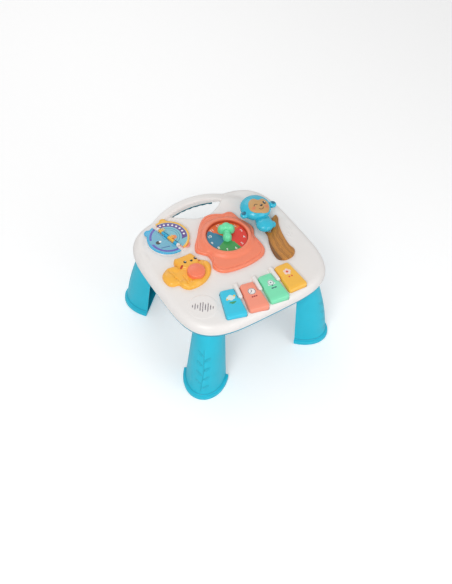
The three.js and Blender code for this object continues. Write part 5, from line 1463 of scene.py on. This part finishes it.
make_fittings()
make_cover()
make_handle_lower()
make_base()
for corner, signs in LEG_CORNERS.items():
    make_leg(corner, *signs)
for key, key_place in zip(KEYS, KEY_PLACES):
    make_key(key, key_place)
make_panel()
make_disc()
make_knob()
knuckle_teal = Paint("teal_knuckle", "2FB0D8", 0.30, 0.06, 0.05).done()
knuckle_yellow = Paint("yellow_knuckle", "F7BC42", 0.30, 0.06, 0.05).done()
pink = Paint("pink_page", "FB9A86", 0.30, 0.06, 0.05).done()
make_page("blue", [blue_page_paint(), knuckle_teal, knuckle_teal])
make_page("pink", [pink, knuckle_yellow, knuckle_teal])
make_page("yellow", [yellow_page_paint(), knuckle_yellow, knuckle_yellow])
make_rod()
make_speaker_cloth()
make_lion()
make_drum()
make_trunk()
make_monkey()
make_monkey_face()


# Floor, light and camera

FLOOR_HALF, FLOOR_GLOW, FLOOR_DROP = 6.0, 0.26, 0.0002  # metres, like all in this section
LAMPS = {"key_light": ((-1.3, -1.0, 1.6), (0, 0, 0.2), 0.9, 17),
         "fill_light": ((0.6, -1.7, 0.9), (0, 0, 0.15), 1.4, 8),
         "rim_light": ((0.2, 1.6, 1.4), (0, 0, 0.2), 1.2, 5)}  # place, target, size and power
WHITE_LIGHT, WORLD_LIGHT = (1, 1, 1, 1), 0.50
PHOTO_HEIGHT, FOCAL_LENGTH = 584, 789.4  # pixels of the photo
SENSOR = 36.0  # millimetres
CAMERA_PLACE = (-0.6493, -0.9117, 1.4717)
CAMERA_RIGHT, CAMERA_UP = (0.8433, -0.5358, 0.0417), (0.3962, 0.6722, 0.6254)
CAMERA_FORWARD = (0.3631, 0.5109, -0.7792)


def make_floor():
    """A pale floor that the camera sees a little brighter than it lights the object."""
    mesh = bpy.data.meshes.new("floor")
    signs = ((-1, -1), (1, -1), (1, 1), (-1, 1))
    mesh.from_pydata([(FLOOR_HALF * sx, FLOOR_HALF * sy, 0) for sx, sy in signs], [], [(0, 1, 2, 3)])
    floor = added("floor", mesh)
    paint = Paint("pale_floor", "F4F4F4", 0.85, 0.0, 0.01)
    seen = paint.node("LightPath", {})["Is Camera Ray"]
    paint.set("Emission Color", WHITE_LIGHT)
    paint.set("Emission Strength", paint.math("MULTIPLY", seen, FLOOR_GLOW))
    paint.set("Base Color", paint.colour)
    mesh.materials.append(paint.material)
    floor.location.z = -FLOOR_DROP


def make_world():
    """White all round: full for camera, glossy and transmitted rays, and half for the light it gives."""
    world = bpy.data.worlds.new("studio")
    bpy.context.scene.world = world
    nodes = Nodes(world)
    rays = nodes.node("LightPath", {})
    seen = nodes.math("MAXIMUM", rays["Is Camera Ray"], rays["Is Glossy Ray"])
    seen = nodes.math("MAXIMUM", seen, rays["Is Transmission Ray"])
    half, full = (nodes.node("Background", {"Color": WHITE_LIGHT, "Strength": strength})[0]
                  for strength in (WORLD_LIGHT, 1.0))
    mixed = nodes.node("MixShader", {0: seen, 1: half, 2: full})[0]
    nodes.feed(nodes.tree.nodes["World Output"].inputs[0], mixed)


def make_lamp(name, place, target, size, power):
    lamp = bpy.data.lights.new(name, "AREA")
    lamp.shape, lamp.size, lamp.energy = "DISK", size, power
    holder = added(name, lamp)
    holder.location = place
    holder.rotation_euler = (Vector(target) - Vector(place)).to_track_quat("-Z", "Y").to_euler()


def make_camera():
    """The camera that the photo was taken with."""
    camera = bpy.data.cameras.new("camera")
    camera.sensor_fit, camera.sensor_height = "VERTICAL", SENSOR
    camera.lens = FOCAL_LENGTH / PHOTO_HEIGHT * SENSOR
    camera.clip_start, camera.clip_end = 0.01, 50
    holder = added("camera", camera)
    axes = Matrix((Vector(CAMERA_RIGHT), Vector(CAMERA_UP), -Vector(CAMERA_FORWARD)))
    holder.matrix_world = Matrix.Translation(CAMERA_PLACE) @ axes.transposed().to_4x4()
    bpy.context.scene.camera = holder


make_floor()
make_world()
for lamp_name, lamp_values in LAMPS.items():
    make_lamp(lamp_name, *lamp_values)
make_camera()
bpy.context.scene.view_settings.view_transform = "Standard"
